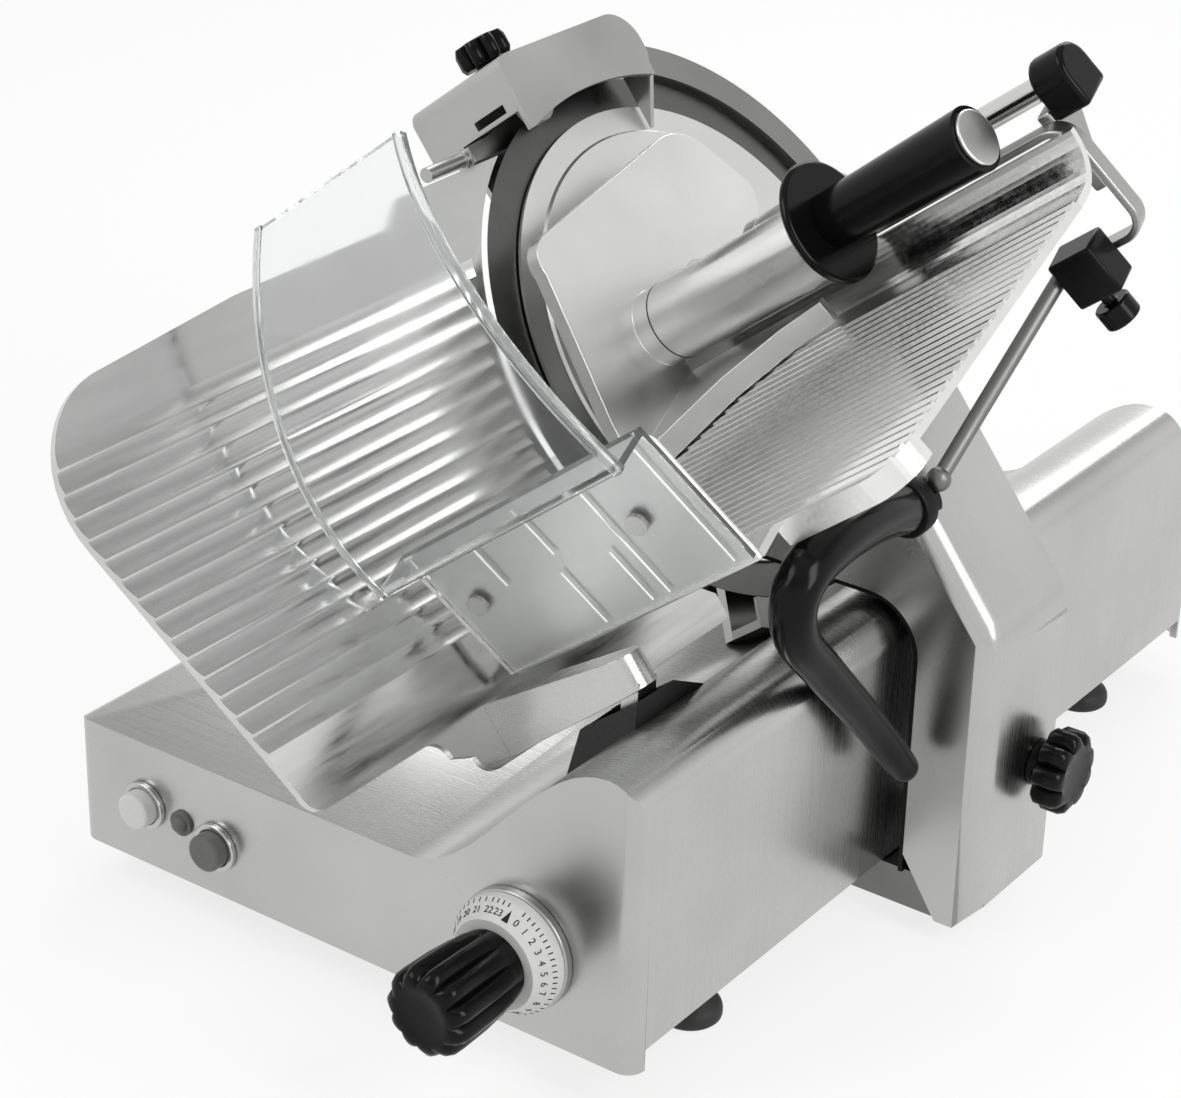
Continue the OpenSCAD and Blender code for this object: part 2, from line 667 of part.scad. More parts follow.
module slide_block() color("dimgray") difference() {
  union() {
    block([block_x[0], foot_y[0], block_z[0]], [block_x[1], foot_y[1], block_z[1]]);
    block([wing_x, foot_y[0], block_z[0]], [block_x[0], foot_y[1], wing_z]);
    block([block_x[0], foot_y[0] + foot_plate + run_gap, arm_low],
      [arm_out, foot_y[1] - foot_plate - run_gap, arm_high]);
    block([block_x[0], foot_y[0] + foot_plate + run_gap, arm_low],
      [block_x[1] - base_wall, foot_y[1] - foot_plate - run_gap, block_z[0]]);
    block([riser_x, foot_y[0] + foot_plate * 3, arm_low],
      [arm_out, foot_y[1] - foot_plate - run_gap, riser_z]);
  }
  translate([guide_x, 0, guide_z]) bar_y(-half_l, half_l, guide_d + 2 * fit);
  translate([side_rod_x, 0, side_rod_z]) bar_y(-half_l, half_l, side_rod_d + 2 * fit);
  translate([0, lock_y, lock_z]) bar_x(0, beyond, lock_bolt_d + 2 * fit);
}

// Foot cover: it hugs the tall side and rises to carry the tray
foot_low = 13;
foot_chamfer = 14;
foot_tip = foot_out - foot_reach / 2 + foot_chamfer / 2;
foot_inner_z = 52;
foot_left = 104;
slant_n = 213;
tray_m = -73;
hug_x = hump_x;
hug_z = 186;
hug_r = 37.3;
liner_t = 3;
// Where the slanted face meets the outer side and the plane under the tray
function slant_z(x, n) = blade_z + (n - (x - blade_x) * cos(tilt)) / sin(tilt);
function at_nm(n, m) = [blade_x + n * cos(tilt) - m * sin(tilt),
  blade_z + n * sin(tilt) + m * cos(tilt)];
function foot_outline(g) = concat(
  [[foot_tip, foot_low], [foot_out - foot_chamfer, foot_low], [foot_out - g, foot_low
    + foot_chamfer], [foot_out - g, slant_z(foot_out - g, slant_n - g)],
    at_nm(slant_n - g, tray_m - g), [foot_left + g, plane_z(foot_left + g, tray_m - g)],
    [foot_left + g, hug_z + hug_r + g]],
  arc(hug_x, hug_z, hug_r + g, quarter, 0));
saddle_n = [130, 200];
saddle_y = [-150, -80];
module foot_cover() color("silver") difference() {
  union() {
    difference() {
      slab(concat(foot_outline(0), [[hug_x + hug_r, foot_inner_z]]), foot_y[0], foot_y[1]);
      slab(concat(foot_outline(foot_plate), [[hug_x + hug_r + foot_plate, arm_high],
          [hug_x + hug_r + foot_plate, foot_low - over],
          [foot_out - foot_chamfer, foot_low - over]]),
        foot_y[0] + foot_plate, foot_y[1] - foot_plate);
    }
    difference() {
      feed() block([saddle_n[0], saddle_y[0], tray_m - foot_plate / 2],
        [saddle_n[1], saddle_y[1], 0]);
      tray() block([-beyond, -beyond, floor_w - tray_t], [beyond, beyond, beyond]);
    }
  }
  translate([0, lock_y, lock_z]) bar_x(foot_out - 2 * foot_plate, beyond, lock_bolt_d + 2 * fit);
  block([hug_x + hug_r - over, foot_y[0] + foot_plate, foot_low - over],
    [foot_out - foot_chamfer, foot_y[1] - foot_plate, arm_high + run_gap]);
}
liner_set = 1;
module foot_liner() color("black") slab(concat(
    [[foot_left, hug_z + hug_r - run_gap]], arc(hug_x, hug_z, hug_r - run_gap, quarter, 0),
    [[hug_x + hug_r - run_gap, arm_high + run_gap],
      [hug_x + hug_r - run_gap - liner_t, arm_high + run_gap]],
    arc(hug_x, hug_z, hug_r - run_gap - liner_t, 0, quarter),
    [[foot_left, hug_z + hug_r - run_gap - liner_t]]), foot_y[0] + liner_set,
  foot_y[1] - liner_set);
handle_r = 15;
// Start on the foot's front, then the handle's reach forward, its drop and its way outward
handle_start = [hug_x + 21, foot_y[0], hug_z + 98];
handle_reach = 133;
handle_drop = 158;
handle_side = 26;
// Each stop as shares of side, reach and drop
handle_route_shares = [[0, 0, 0], [0.27, 0.64, -0.1], [0.38, 1, -0.04], [0.38, 0.985, 0.18],
  [0.46, 0.79, 0.37], [0.65, 0.41, 0.72], [1, 0.17, 1]];
handle_points = [for (stop = handle_route_shares) handle_start
  + [handle_side * stop[0], -handle_reach * stop[1], -handle_drop * stop[2]]];
handle_shares = [0.9, 1, 1.05, 0.95, 0.88, 0.8, 0.66];
module push_handle() color("black") difference() {
  for (i = [0 : len(handle_points) - 2]) hull() for (k = [i, i + 1])
    translate(handle_points[k]) sphere(r = handle_r * handle_shares[k], $fn = 24);
  slab(foot_outline(0), foot_y[0], foot_y[1]);
}
lock_hub_d = 30;
lock_hub_t = 8;
lock_star_d = 54;
lock_star_t = 20;
module lock_knob() color("black") translate([foot_out, lock_y, lock_z]) {
  bar_x(run_gap, lock_hub_t, lock_hub_d);
  translate([lock_hub_t, 0, 0]) rotate([0, quarter, 0]) star(lock_star_d, lock_star_t, 9);
  bar_x(arm_out - foot_out - foot_plate, lock_hub_t, lock_bolt_d);
}

// Tray: ribbed floor with a smooth rise at the back, in the tray frame
tray_n0 = 8;
tray_front = -335;
wall_t = 4;
lip_v = -314;
corner_n = 284;
edge_front = [313, -284];
edge_back = [356, -92];
floor_w = -8;
rise_v = -80;
rise_r = 28;
rise_w = floor_w + rise_r;
rise_end = -6;
tray_rib = 2;
rib_count = floor((rise_v - lip_v) / tray_pitch) - 1;
skirt_h = 16;
lip_r = edge_front[0] - corner_n;
function ribs() = [for (i = [0 : rib_count - 1]) let(v = lip_v + (i + 1) * tray_pitch)
  each [[v - tray_pitch / 4, floor_w], [v - tray_pitch / 8, floor_w + tray_rib],
    [v + tray_pitch / 8, floor_w + tray_rib], [v + tray_pitch / 4, floor_w]]];
tray_plan = concat([[tray_n0, tray_front], [tray_n0 + wall_l, tray_front],
    [tray_n0 + wall_l, lip_v]],
  arc(corner_n, lip_v + lip_r, lip_r, -quarter, 0),
  [edge_back, [edge_back[0], 0], [tray_n0, 0]]);
module tray_floor() color("silver") tray() {
  intersection() {
    leaf(concat([[tray_front, floor_w]], ribs(),
      arc(rise_v, rise_w, rise_r, -quarter, rise_end),
      arc(rise_v, rise_w, rise_r + tray_t, rise_end, -quarter),
      [[tray_front, floor_w - tray_t]]), tray_n0, beyond);
    translate([0, 0, -beyond]) linear_extrude(height = 2 * beyond) polygon(tray_plan);
  }
  translate([0, 0, floor_w - skirt_h]) linear_extrude(height = skirt_h - tray_t + over)
    polygon(concat([[tray_n0 + wall_l, lip_v]],
      arc(corner_n, lip_v + lip_r, lip_r, -quarter, 0),
      arc(corner_n, lip_v + lip_r, lip_r - wall_t, 0, -quarter),
      [[tray_n0 + wall_l, lip_v + wall_t]]));
}
wall_top = floor_w + wall_h;
wall_round = 12;
module tray_front_wall() color("silver") tray()
  slab(concat([[tray_n0, floor_w - tray_t], [tray_n0 + wall_l, floor_w - tray_t]],
      arc(tray_n0 + wall_l - wall_round, wall_top - wall_round, wall_round, 0, quarter),
      arc(tray_n0 + wall_round, wall_top - wall_round, wall_round, quarter, half_turn)),
    tray_front - wall_t, tray_front);

// Rim: a strip bent round the outer end behind the tray
rim_v = [-47, -34];
rim_n = [56, 352];
rim_t = 5;
rim_round = 18;
rim_top_w = 22;
rim_low_w = -64;
rim_hook = 292;
function rim_path(g) = concat([[rim_n[0], rim_top_w - g]],
  arc(rim_n[1] - rim_round, rim_top_w - rim_round, rim_round - g, quarter, 0),
  arc(rim_n[1] - rim_round, rim_low_w + rim_round, rim_round - g, 0, -quarter),
  [[rim_hook, rim_low_w + g]]);
sleeve_n = [100, 176];
rod_v = -18;
rod_w = 37;
lug_n = [56, 68];
lug_d = 28;
module tray_rim() color("silver") tray() {
  slab([for (p = rim_path(0)) p, for (i = [len(rim_path(rim_t)) - 1 : -1 : 0]) rim_path(rim_t)[i]],
    rim_v[0], rim_v[1]);
  difference() {
    union() {
      translate([0, rod_v, rod_w]) bar_x(lug_n[0], lug_n[1], lug_d);
      block([lug_n[0], rim_v[0], rim_top_w - rim_t], [lug_n[1], rod_v, rod_w + lug_d / 4]);
    }
    translate([0, rod_v, rod_w]) bar_x(lug_n[0] - over, lug_n[1] + over, rod_d);
  }
}
stay_d = 10;
stay_ball = 15;
stay_foot = [slant_n + stay_ball / 2, -184, -86];
stay_head = [300, -52, rim_low_w + stay_d];
module floor_stay() color("silver") tray() {
  bar(stay_foot, stay_head, stay_d);
  translate(stay_foot) sphere(d = stay_ball);
}

// Clear guard: a flat panel on the front wall, a ledge and an arched screen
ledge_w = 35.7;
clear_rise = 20;
clear_a = [125.5, 185.5];
clear_in = 38;
clear_out = 39;
clear_power = 1.8;
clear_span = 200;
panel_v = tray_front - wall_t - run_gap;
clear_v = panel_v - ledge_w + clear_r;
clear_w = wall_top + clear_rise;
screen_steps = 12;
screen_top = clear_w + clear_r * sin(clear_a[0]);
function screen_w(i) = wall_top + (screen_top - wall_top) * i / screen_steps;
function bow(i) = (max(0, screen_w(i) - wall_top) / clear_span) ^ clear_power;
screen_outline = concat([[tray_n0 - run_gap, -beyond], [tray_n0 + wall_l, -beyond]],
  [for (i = [0 : screen_steps]) [tray_n0 + wall_l - clear_out * bow(i), screen_w(i)]],
  [for (i = [screen_steps : -1 : 0]) [tray_n0 - run_gap + clear_in * bow(i), screen_w(i)]]);
module clear_guard() color("white") tray() {
  slab([[tray_n0, floor_w], [tray_n0 + wall_l, floor_w], [tray_n0 + wall_l, wall_top + clear_t],
    [tray_n0, wall_top + clear_t]], panel_v - clear_t, panel_v);
  block([tray_n0, clear_v - clear_r + clear_t / 2, wall_top],
    [tray_n0 + wall_l, panel_v, wall_top + clear_t]);
  intersection() {
    translate([tray_n0, clear_v, clear_w]) spin(clear_a[0], clear_a[1])
      ring_profile(clear_r - clear_t, clear_r, -over, wall_l + over);
    slab(screen_outline, -beyond, beyond);
  }
}
screw_n = [30, 170];
screw_w = 42;
screw_head = 14;
screw_body = 6;
module guard_screws() color("silver") tray() for (n = screw_n) translate([n, 0, screw_w]) {
  bar_y(panel_v - clear_t - screw_body / 2, panel_v - clear_t, screw_head);
}

// Pusher rod, its end block and the bracket on the rim
block_gap = 24;
block_l = 26;
block_n0 = sleeve_n[1] + pusher_travel + block_gap;
block_n = [block_n0, block_n0 + block_l];
block_v = [-34, -2];
block_w = [18, 54];
module pusher_rod() color("silver") tray() translate([0, rod_v, rod_w])
  bar_x(lug_n[0], block_n[0], rod_d);
module rod_block() color("black") tray() leaf(concat([[block_v[0], block_w[0]], [block_v[1], block_w[0]]],
    arc(block_v[1] - rod_d, block_w[1] - rod_d, rod_d, 0, half_turn)), block_n[0], block_n[1]);
module rod_bracket() color("gray") tray() {
  leaf([[rim_v[1], rim_low_w / 2], [rim_v[1], block_w[1] / 2], [block_v[1], block_w[1] / 2],
    [block_v[1], block_w[0] / 2]], block_n[0] - rim_t * 2, block_n[0]);
}
clamp_n = [296, 328];
clamp_v = [-74, -49];
clamp_w = [-78, -44];
module clamp_block() color("black") tray()
  block([clamp_n[0], clamp_v[0], clamp_w[0]], [clamp_n[1], clamp_v[1], clamp_w[1]]);
thumb_d = 24;
thumb_h = 14;
thumb_neck = 8;
module thumb_screw() color("black") tray()
  translate([clamp_n[0] + thumb_d / 2, (clamp_v[0] + clamp_v[1]) / 2, clamp_w[0]]) {
    translate([0, 0, -thumb_neck]) cylinder(h = thumb_neck, d = thumb_d / 3);
    translate([0, 0, -thumb_neck - thumb_h]) cylinder(h = thumb_h, d = thumb_d);
  }

// Pusher: a sleeve slides on the rod, and the plate with its arm swings on the sleeve
sleeve_d = rod_d + 10;
plate_n = [34, 44];
arm_v = -78;
arm_w = 44;
arm_n1 = 197;
collar_n = [112, 164];
collar_d = sleeve_d + 12;
push_foot = floor_w + tray_rib + 1;
push_over = 30;
notch_gap = 2;
module pusher_sleeve() color("silver") tray() translate([0, rod_v, rod_w]) difference() {
  union() {
    bar_x(sleeve_n[0], sleeve_n[1], sleeve_d);
    bar_x(sleeve_n[0], collar_n[0] - run_gap, collar_d);
    bar_x(collar_n[1] + run_gap, sleeve_n[1], collar_d);
  }
  bar_x(sleeve_n[0] - over, sleeve_n[1] + over, rod_d + 2 * fit);
}
push_left = [[-190, push_foot], [-172, 38]];
push_low_v = [-84, 60];
// Rounded corners: centre v, centre w and radius, with the angles they turn through
push_corner = [[64, 50, 20], [36, 78, 40], [-108, 126, 18]];
push_turns = [[-80, 0], [10, 80], [80, 175]];
push_outline = concat(
  [[push_low_v[0], push_foot], [push_low_v[0], push_over], [push_low_v[1], push_over]],
  [for (k = [0 : len(push_turns) - 1]) each
    arc(push_corner[k][0], push_corner[k][1], push_corner[k][2], push_turns[k][0], push_turns[k][1])],
  [push_left[1], push_left[0]]);
skirt_n = [50, 90, 130, 160];
skirt_v = [-170, -122, -96, -86];
skirt_top = 16;
skirt_t = 6;
module pusher_plate() color("silver") tray() difference() {
  union() {
    leaf(push_outline, plate_n[0], plate_n[1]);
    translate([0, arm_v, arm_w]) bar_x(plate_n[1], arm_n1, arm_d);
    block([collar_n[0], arm_v, arm_w - rod_d / 2], [collar_n[1], rod_v, rod_w + rod_d / 2]);
    translate([0, rod_v, rod_w]) bar_x(collar_n[0], collar_n[1], collar_d);
    translate([0, 0, push_foot]) linear_extrude(height = skirt_top)
      polygon([[plate_n[1], push_left[0][0] + rod_d], [skirt_n[0], skirt_v[0]],
        [skirt_n[1], skirt_v[1]], [skirt_n[2], skirt_v[2]], [skirt_n[3], skirt_v[3]],
        [skirt_n[3], skirt_v[3] + skirt_t], [plate_n[1], push_low_v[0]]]);
  }
  translate([0, rod_v, rod_w]) {
    bar_x(plate_n[1], beyond, sleeve_d + 2 * fit);
    bar_x(0, plate_n[1] + over, lug_d + 2 * notch_gap);
  }
  block([0, rim_v[0] - notch_gap, push_over - over],
    [plate_n[1] + over, rod_v + lug_d / 2 + notch_gap, rod_w + lug_d / 4 + notch_gap]);
  translate([0, arm_v, arm_w]) bar_x(arm_n1 - arm_n1 / 3, beyond, arm_d / 3);
}
pin_count = 11;
pin_d = 3;
pin_h = 6;
module pusher_pins() color("silver") tray() for (i = [0 : pin_count - 1]) {
  t = i / (pin_count - 1) * (len(skirt_n) - 1);
  k = min(floor(t), len(skirt_n) - 2);
  translate([skirt_n[k] + (skirt_n[k + 1] - skirt_n[k]) * (t - k) - pin_d * (1 - t / 9),
      skirt_v[k] + (skirt_v[k + 1] - skirt_v[k]) * (t - k) + pin_d, push_foot - run_gap * 2])
    cylinder(h = pin_h, d = pin_d, $fn = 16);
}
disc_t = 6;
grip_n = [arm_n1 + disc_t, 320];
cap_t = 3;
grip_w = 50;
grip_v = -78;
grip_neck_share = 0.86;
cap_share = 0.84;
module grip_disc() color("black") tray() translate([0, grip_v, grip_w])
  bar_x(arm_n1, arm_n1 + disc_t, disc_d);
module pusher_grip() color("black") tray() translate([grip_n[0], grip_v, grip_w])
  rotate([0, quarter, 0]) cylinder(h = grip_n[1] - grip_n[0], d1 = grip_d * grip_neck_share,
    d2 = grip_d);
module grip_cap() color("silver") tray() translate([grip_n[1], grip_v, grip_w])
  bar_x(0, cap_t, grip_d * cap_share);

base_housing();
underside_cover();
rubber_feet();
inlet_gland();
off_bezel();
off_button();
on_bezel();
on_button();
indicator_lamp();
dial_bezel();
numbered_dial();
thickness_knob();
gauge_cam();
gauge_rails();
gauge_plate();
gauge_bracket();
rubber_boot();
motor();
motor_pulley();
drive_belt();
blade_pulley();
blade_spindle();
blade_housing();
blade();
blade_cover();
ring_guard();
deflector_spout();
sharpener_hood();
sharpener_stones();
sharpener_knob();
guide_rods();
slide_block();
foot_cover();
foot_liner();
push_handle();
lock_knob();
tray_floor();
tray_front_wall();
tray_rim();
floor_stay();
clear_guard();
guard_screws();
pusher_rod();
rod_block();
rod_bracket();
clamp_block();
thumb_screw();
pusher_sleeve();
pusher_plate();
pusher_pins();
grip_disc();
pusher_grip();
grip_cap();
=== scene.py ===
"""Looks of a gravity-feed food slicer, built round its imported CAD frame.

Sizes made with mm() are metres. Tables of places are millimetres, and the code that reads
them converts them.
The feed frame has its origin at the blade centre: n is the feed axis, square to the
blade, Y the travel, and m runs up the blade. The tray frame is leaned over about n:
v runs up the tray floor and w is square to it.
"""
import json
import math

import bmesh
import bpy
from mathutils import Matrix, Vector


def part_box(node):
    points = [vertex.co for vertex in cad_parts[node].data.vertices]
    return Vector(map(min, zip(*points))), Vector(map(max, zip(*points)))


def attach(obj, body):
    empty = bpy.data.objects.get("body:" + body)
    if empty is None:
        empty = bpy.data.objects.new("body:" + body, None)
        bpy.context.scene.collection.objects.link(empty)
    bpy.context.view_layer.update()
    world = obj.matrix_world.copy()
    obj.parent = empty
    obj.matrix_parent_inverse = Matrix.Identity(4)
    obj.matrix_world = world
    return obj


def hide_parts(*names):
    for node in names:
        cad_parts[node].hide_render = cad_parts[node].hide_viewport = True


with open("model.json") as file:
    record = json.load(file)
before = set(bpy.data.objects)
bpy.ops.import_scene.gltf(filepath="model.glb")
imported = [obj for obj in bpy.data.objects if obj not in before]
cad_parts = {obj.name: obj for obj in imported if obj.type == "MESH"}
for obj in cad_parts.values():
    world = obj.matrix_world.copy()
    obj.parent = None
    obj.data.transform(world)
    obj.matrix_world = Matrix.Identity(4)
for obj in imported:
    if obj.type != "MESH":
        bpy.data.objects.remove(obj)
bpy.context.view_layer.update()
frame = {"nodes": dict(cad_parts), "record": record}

MM = 0.001


def mm(value):
    return value * MM


# Working frames
TILT = math.radians(38)
LEAN = math.radians(20)
BLADE_CENTRE = Vector((mm(-39), mm(84), mm(277)))
FEED = Matrix.Translation(BLADE_CENTRE) @ Matrix.Rotation(-TILT, 4, "Y")
TRAY = FEED @ Matrix.Rotation(LEAN, 4, "X")
TOWARD_USER = Matrix.Rotation(math.radians(90), 4, "X")
OUTWARD = Matrix.Rotation(math.radians(90), 4, "Y")

# Places read from the CAD's own boxes
BASE_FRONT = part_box("base_housing")[0][1]
FOOT_LOW, FOOT_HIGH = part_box("foot_cover")
DIAL_LOW, DIAL_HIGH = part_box("numbered_dial")

# The span of noise values that the textures use, and how far they change colour and roughness
NOISE_SPAN = (0.3, 0.7)
EVEN = (1, 1, 1)
CLOUD_SCALE = 9.0
CLOUD_SHARES = (0.93, 1.05)
METAL_ROUGH_SPREAD = (-0.05, 0.07)
PEEL_ROUGH_SHARES = (0.8, 1.3)
RUBBER_ROUGH = (0.5, 0.75)
HAZE_ROUGH = (0.03, 0.12)
STONE_LEVELS = (0.2, 0.45)
BLUE_SHARE = 0.985


# Materials
def principled(name, color, roughness, metallic=0.0, **sockets):
    mat = bpy.data.materials.new(name)
    mat.use_nodes = True
    shader = mat.node_tree.nodes["Principled BSDF"]
    shader.inputs["Base Color"].default_value = (*color, 1.0)
    shader.inputs["Metallic"].default_value = metallic
    shader.inputs["Roughness"].default_value = roughness
    for key, value in sockets.items():
        shader.inputs[key.replace("_", " ")].default_value = value
    return mat, mat.node_tree, shader


def object_coords(tree, scale):
    coords = tree.nodes.new("ShaderNodeTexCoord")
    mapping = tree.nodes.new("ShaderNodeMapping")
    mapping.inputs["Scale"].default_value = scale
    tree.links.new(coords.outputs["Object"], mapping.inputs["Vector"])
    return mapping.outputs["Vector"]


def noise(tree, stretch, scale, detail=4.0):
    node = tree.nodes.new("ShaderNodeTexNoise")
    node.inputs["Scale"].default_value = scale
    node.inputs["Detail"].default_value = detail
    tree.links.new(object_coords(tree, stretch), node.inputs["Vector"])
    return node.outputs["Fac"]


def ramp(tree, value, low, high):
    node = tree.nodes.new("ShaderNodeMapRange")
    node.inputs["From Min"].default_value, node.inputs["From Max"].default_value = NOISE_SPAN
    node.inputs["To Min"].default_value = low
    node.inputs["To Max"].default_value = high
    tree.links.new(value, node.inputs["Value"])
    return node.outputs["Result"]


def tint(tree, value, dark, light):
    node = tree.nodes.new("ShaderNodeValToRGB")
    for element, position, color in zip(node.color_ramp.elements, NOISE_SPAN, (dark, light)):
        element.position = position
        element.color = (*color, 1.0)
    tree.links.new(value, node.inputs["Fac"])
    return node.outputs["Color"]


def bump(tree, shader, height, strength, distance):
    node = tree.nodes.new("ShaderNodeBump")
    node.inputs["Strength"].default_value = strength
    node.inputs["Distance"].default_value = distance
    tree.links.new(height, node.inputs["Height"])
    tree.links.new(node.outputs["Normal"], shader.inputs["Normal"])


def grey(level):
    return (level, level, level * BLUE_SHARE)


def satin_metal(name, level, rough, stretch, grain=0.15):
    """Satin metal: soft clouding of colour and roughness, with fine lines along one axis."""
    mat, tree, shader = principled(name, grey(level), metallic=1.0, roughness=rough)
    cloud = noise(tree, EVEN, CLOUD_SCALE)
    dark, light = (grey(level * share) for share in CLOUD_SHARES)
    tree.links.new(tint(tree, cloud, dark, light), shader.inputs["Base Color"])
    lines = noise(tree, stretch, scale=1.0, detail=6.0)
    low, high = (rough + change for change in METAL_ROUGH_SPREAD)
    tree.links.new(ramp(tree, lines, low, high), shader.inputs["Roughness"])
    bump(tree, shader, lines, strength=grain, distance=mm(0.1))
    return mat


def dark_plastic(name, level, rough):
    """Moulded plastic or lacquer with a faint orange peel."""
    mat, tree, shader = principled(name, grey(level), roughness=rough, Specular_IOR_Level=0.14)
    peel = noise(tree, EVEN, scale=500.0, detail=2.0)
    low, high = (rough * share for share in PEEL_ROUGH_SHARES)
    tree.links.new(ramp(tree, peel, low, high), shader.inputs["Roughness"])
    bump(tree, shader, peel, strength=0.08, distance=mm(0.15))
    return mat


def rubber(name, level):
    mat, tree, shader = principled(name, grey(level), roughness=0.6)
    grain = noise(tree, EVEN, scale=900.0, detail=3.0)
    tree.links.new(ramp(tree, grain, *RUBBER_ROUGH), shader.inputs["Roughness"])
    bump(tree, shader, grain, strength=0.2, distance=mm(0.2))
    return mat


def clear_plastic(name):
    mat, tree, shader = principled(name, (0.93, 0.94, 0.94), roughness=0.06, IOR=1.25,
                                   Transmission_Weight=0.96)
    haze = noise(tree, EVEN, scale=25.0, detail=3.0)
    tree.links.new(ramp(tree, haze, *HAZE_ROUGH), shader.inputs["Roughness"])
    return mat


def stone(name):
    mat, tree, shader = principled(name, grey(0.3), roughness=0.9)
    grit = noise(tree, EVEN, scale=1500.0, detail=2.0)
    dark, light = (grey(level) for level in STONE_LEVELS)
    tree.links.new(tint(tree, grit, dark, light), shader.inputs["Base Color"])
    bump(tree, shader, grit, strength=0.5, distance=mm(0.3))
    return mat


# Metals: name, brightness, roughness, how the fine lines are stretched, and their strength
CAST = satin_metal("cast_satin", 0.42, 0.32, (18, 18, 18))
# Darker copy of the cast satin, with painted shade, for the ring guard
SHADED_RING_CAST = satin_metal("ring_cast_painted_shade", 0.27, 0.34, (18, 18, 18))
BASE_CAST = satin_metal("base_satin", 0.50, 0.27, (10, 1200, 10), 0.08)
STEEL = satin_metal("brushed_steel", 0.55, 0.27, (1400, 20, 1400), 0.1)
COVER_STEEL = satin_metal("cover_steel", 0.72, 0.32, (40, 40, 40))
BLADE_STEEL = satin_metal("blade_steel", 0.14, 0.30, (60, 60, 60))
CHROME = satin_metal("polished_steel", 0.62, 0.13, (30, 30, 30), 0.03)
BRIGHT_CAST = satin_metal("bright_cast", 0.76, 0.30, (18, 18, 18))
PLATE_STEEL = satin_metal("plate_steel", 0.62, 0.19, (200, 15, 200), 0.05)
# Much brighter copy of the cast satin, with painted sheen: it brightens the tray's front wall to
# stand for the whitish glare seen through the clear panel, and it also colours the panel's
# ridges
PAINTED_SHEEN_CAST = satin_metal("painted_sheen_cast", 0.85, 0.42, (12, 12, 12), 0.05)
TRAY_STEEL = satin_metal("tray_steel", 0.82, 0.20, (300, 20, 300), 0.05)
DULL_CAST = satin_metal("dull_cast", 0.20, 0.45, (25, 25, 25))

# Plastics, rubber and stone: name, brightness and roughness
BLACK = dark_plastic("black_lacquer", 0.004, 0.17)
DARK = dark_plastic("black_moulding", 0.008, 0.4)
RUBBER = rubber("black_rubber", 0.014)
CLEAR = clear_plastic("clear_plastic")
PALE = dark_plastic("pale_plastic", 0.62, 0.3)
BUTTON_GREY = dark_plastic("grey_plastic", 0.14, 0.3)
DIAL_WHITE = dark_plastic("dial_satin", 0.6, 0.35)
INK = dark_plastic("black_ink", 0.01, 0.5)
STONE = stone("grinding_stone")

NODE_MATERIAL = {
    "base_housing": BASE_CAST, "underside_cover": DULL_CAST, "rubber_feet": RUBBER,
    "inlet_gland": DARK, "off_bezel": STEEL, "on_bezel": STEEL, "off_button": PALE,
    "on_button": BUTTON_GREY, "indicator_lamp": BUTTON_GREY, "dial_bezel": CAST,
    "numbered_dial": DIAL_WHITE, "thickness_knob": BLACK, "gauge_cam": STEEL,
    "gauge_rails": STEEL, "gauge_plate": PLATE_STEEL, "gauge_bracket": STEEL,
    "rubber_boot": RUBBER, "motor": DULL_CAST, "motor_pulley": STEEL, "drive_belt": RUBBER,
    "blade_pulley": STEEL, "blade_spindle": STEEL, "blade_housing": CAST, "blade": BLADE_STEEL,
    # The ring guard gets the darker cast copy with painted shade
    "blade_cover": COVER_STEEL, "ring_guard": SHADED_RING_CAST, "sharpener_hood": CAST,
    "deflector_spout": CAST, "sharpener_stones": STONE, "sharpener_knob": BLACK,
    "guide_rods": CHROME, "slide_block": DULL_CAST, "foot_cover": BASE_CAST,
    # The foot liner's black stands partly for the shade in the gap between the foot and the hump
    "foot_liner": DARK, "push_handle": BLACK, "lock_knob": BLACK, "tray_floor": TRAY_STEEL,
    # The tray's front wall gets the cast with painted sheen, brighter than its own metal
    "tray_front_wall": PAINTED_SHEEN_CAST, "tray_rim": CAST, "floor_stay": DULL_CAST,
    "clear_guard": CLEAR, "guard_screws": STEEL, "pusher_rod": CHROME, "rod_block": BLACK,
    "rod_bracket": CAST, "clamp_block": BLACK, "thumb_screw": BLACK, "pusher_sleeve": STEEL,
    "pusher_plate": BRIGHT_CAST, "pusher_pins": STEEL, "grip_disc": BLACK,
    "pusher_grip": BLACK, "grip_cap": COVER_STEEL,
}
BODY_OF = {node: body for body, nodes in frame["record"]["behaviour"]["bodies"].items()
           for node in nodes}

for node_name, material in NODE_MATERIAL.items():
    mesh = frame["nodes"][node_name].data
    mesh.materials.clear()
    mesh.materials.append(material)

# Degrees over which an edge looks sharp, over which one is rounded, and under which two faces
# count as one
PLAIN_SHARP, CAD_SHARP, MOULDED_SHARP, HANDLE_SHARP = 35, 40, 50, 60
ROUNDED_FROM, FLAT_WITHIN = 28, 0.5
ROUND_STEPS = 3

# Distances under which two points are one, and under which a point lies on a named face
SAME_POINT = mm(0.01)
NEAR = mm(0.1)


# Mesh helpers
def new_piece(name, bm, material, body, sharp=PLAIN_SHARP):
    mesh = bpy.data.meshes.new(name)
    bm.to_mesh(mesh)
    bm.free()
    mesh.materials.append(material)
    piece = bpy.data.objects.new(name, mesh)
    bpy.context.collection.objects.link(piece)
    mesh.shade_smooth()
    mesh.set_sharp_from_angle(angle=math.radians(sharp))
    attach(piece, body)
    return piece


def cad_copy(node):
    """A CAD node's mesh with its flat faces joined, ready to have its edges rounded."""
    bm = bmesh.new()
    bm.from_mesh(frame["nodes"][node].data)
    bmesh.ops.remove_doubles(bm, verts=bm.verts, dist=SAME_POINT)
    bmesh.ops.dissolve_limit(bm, angle_limit=math.radians(FLAT_WITHIN), verts=bm.verts,
                             edges=bm.edges)
    return bm


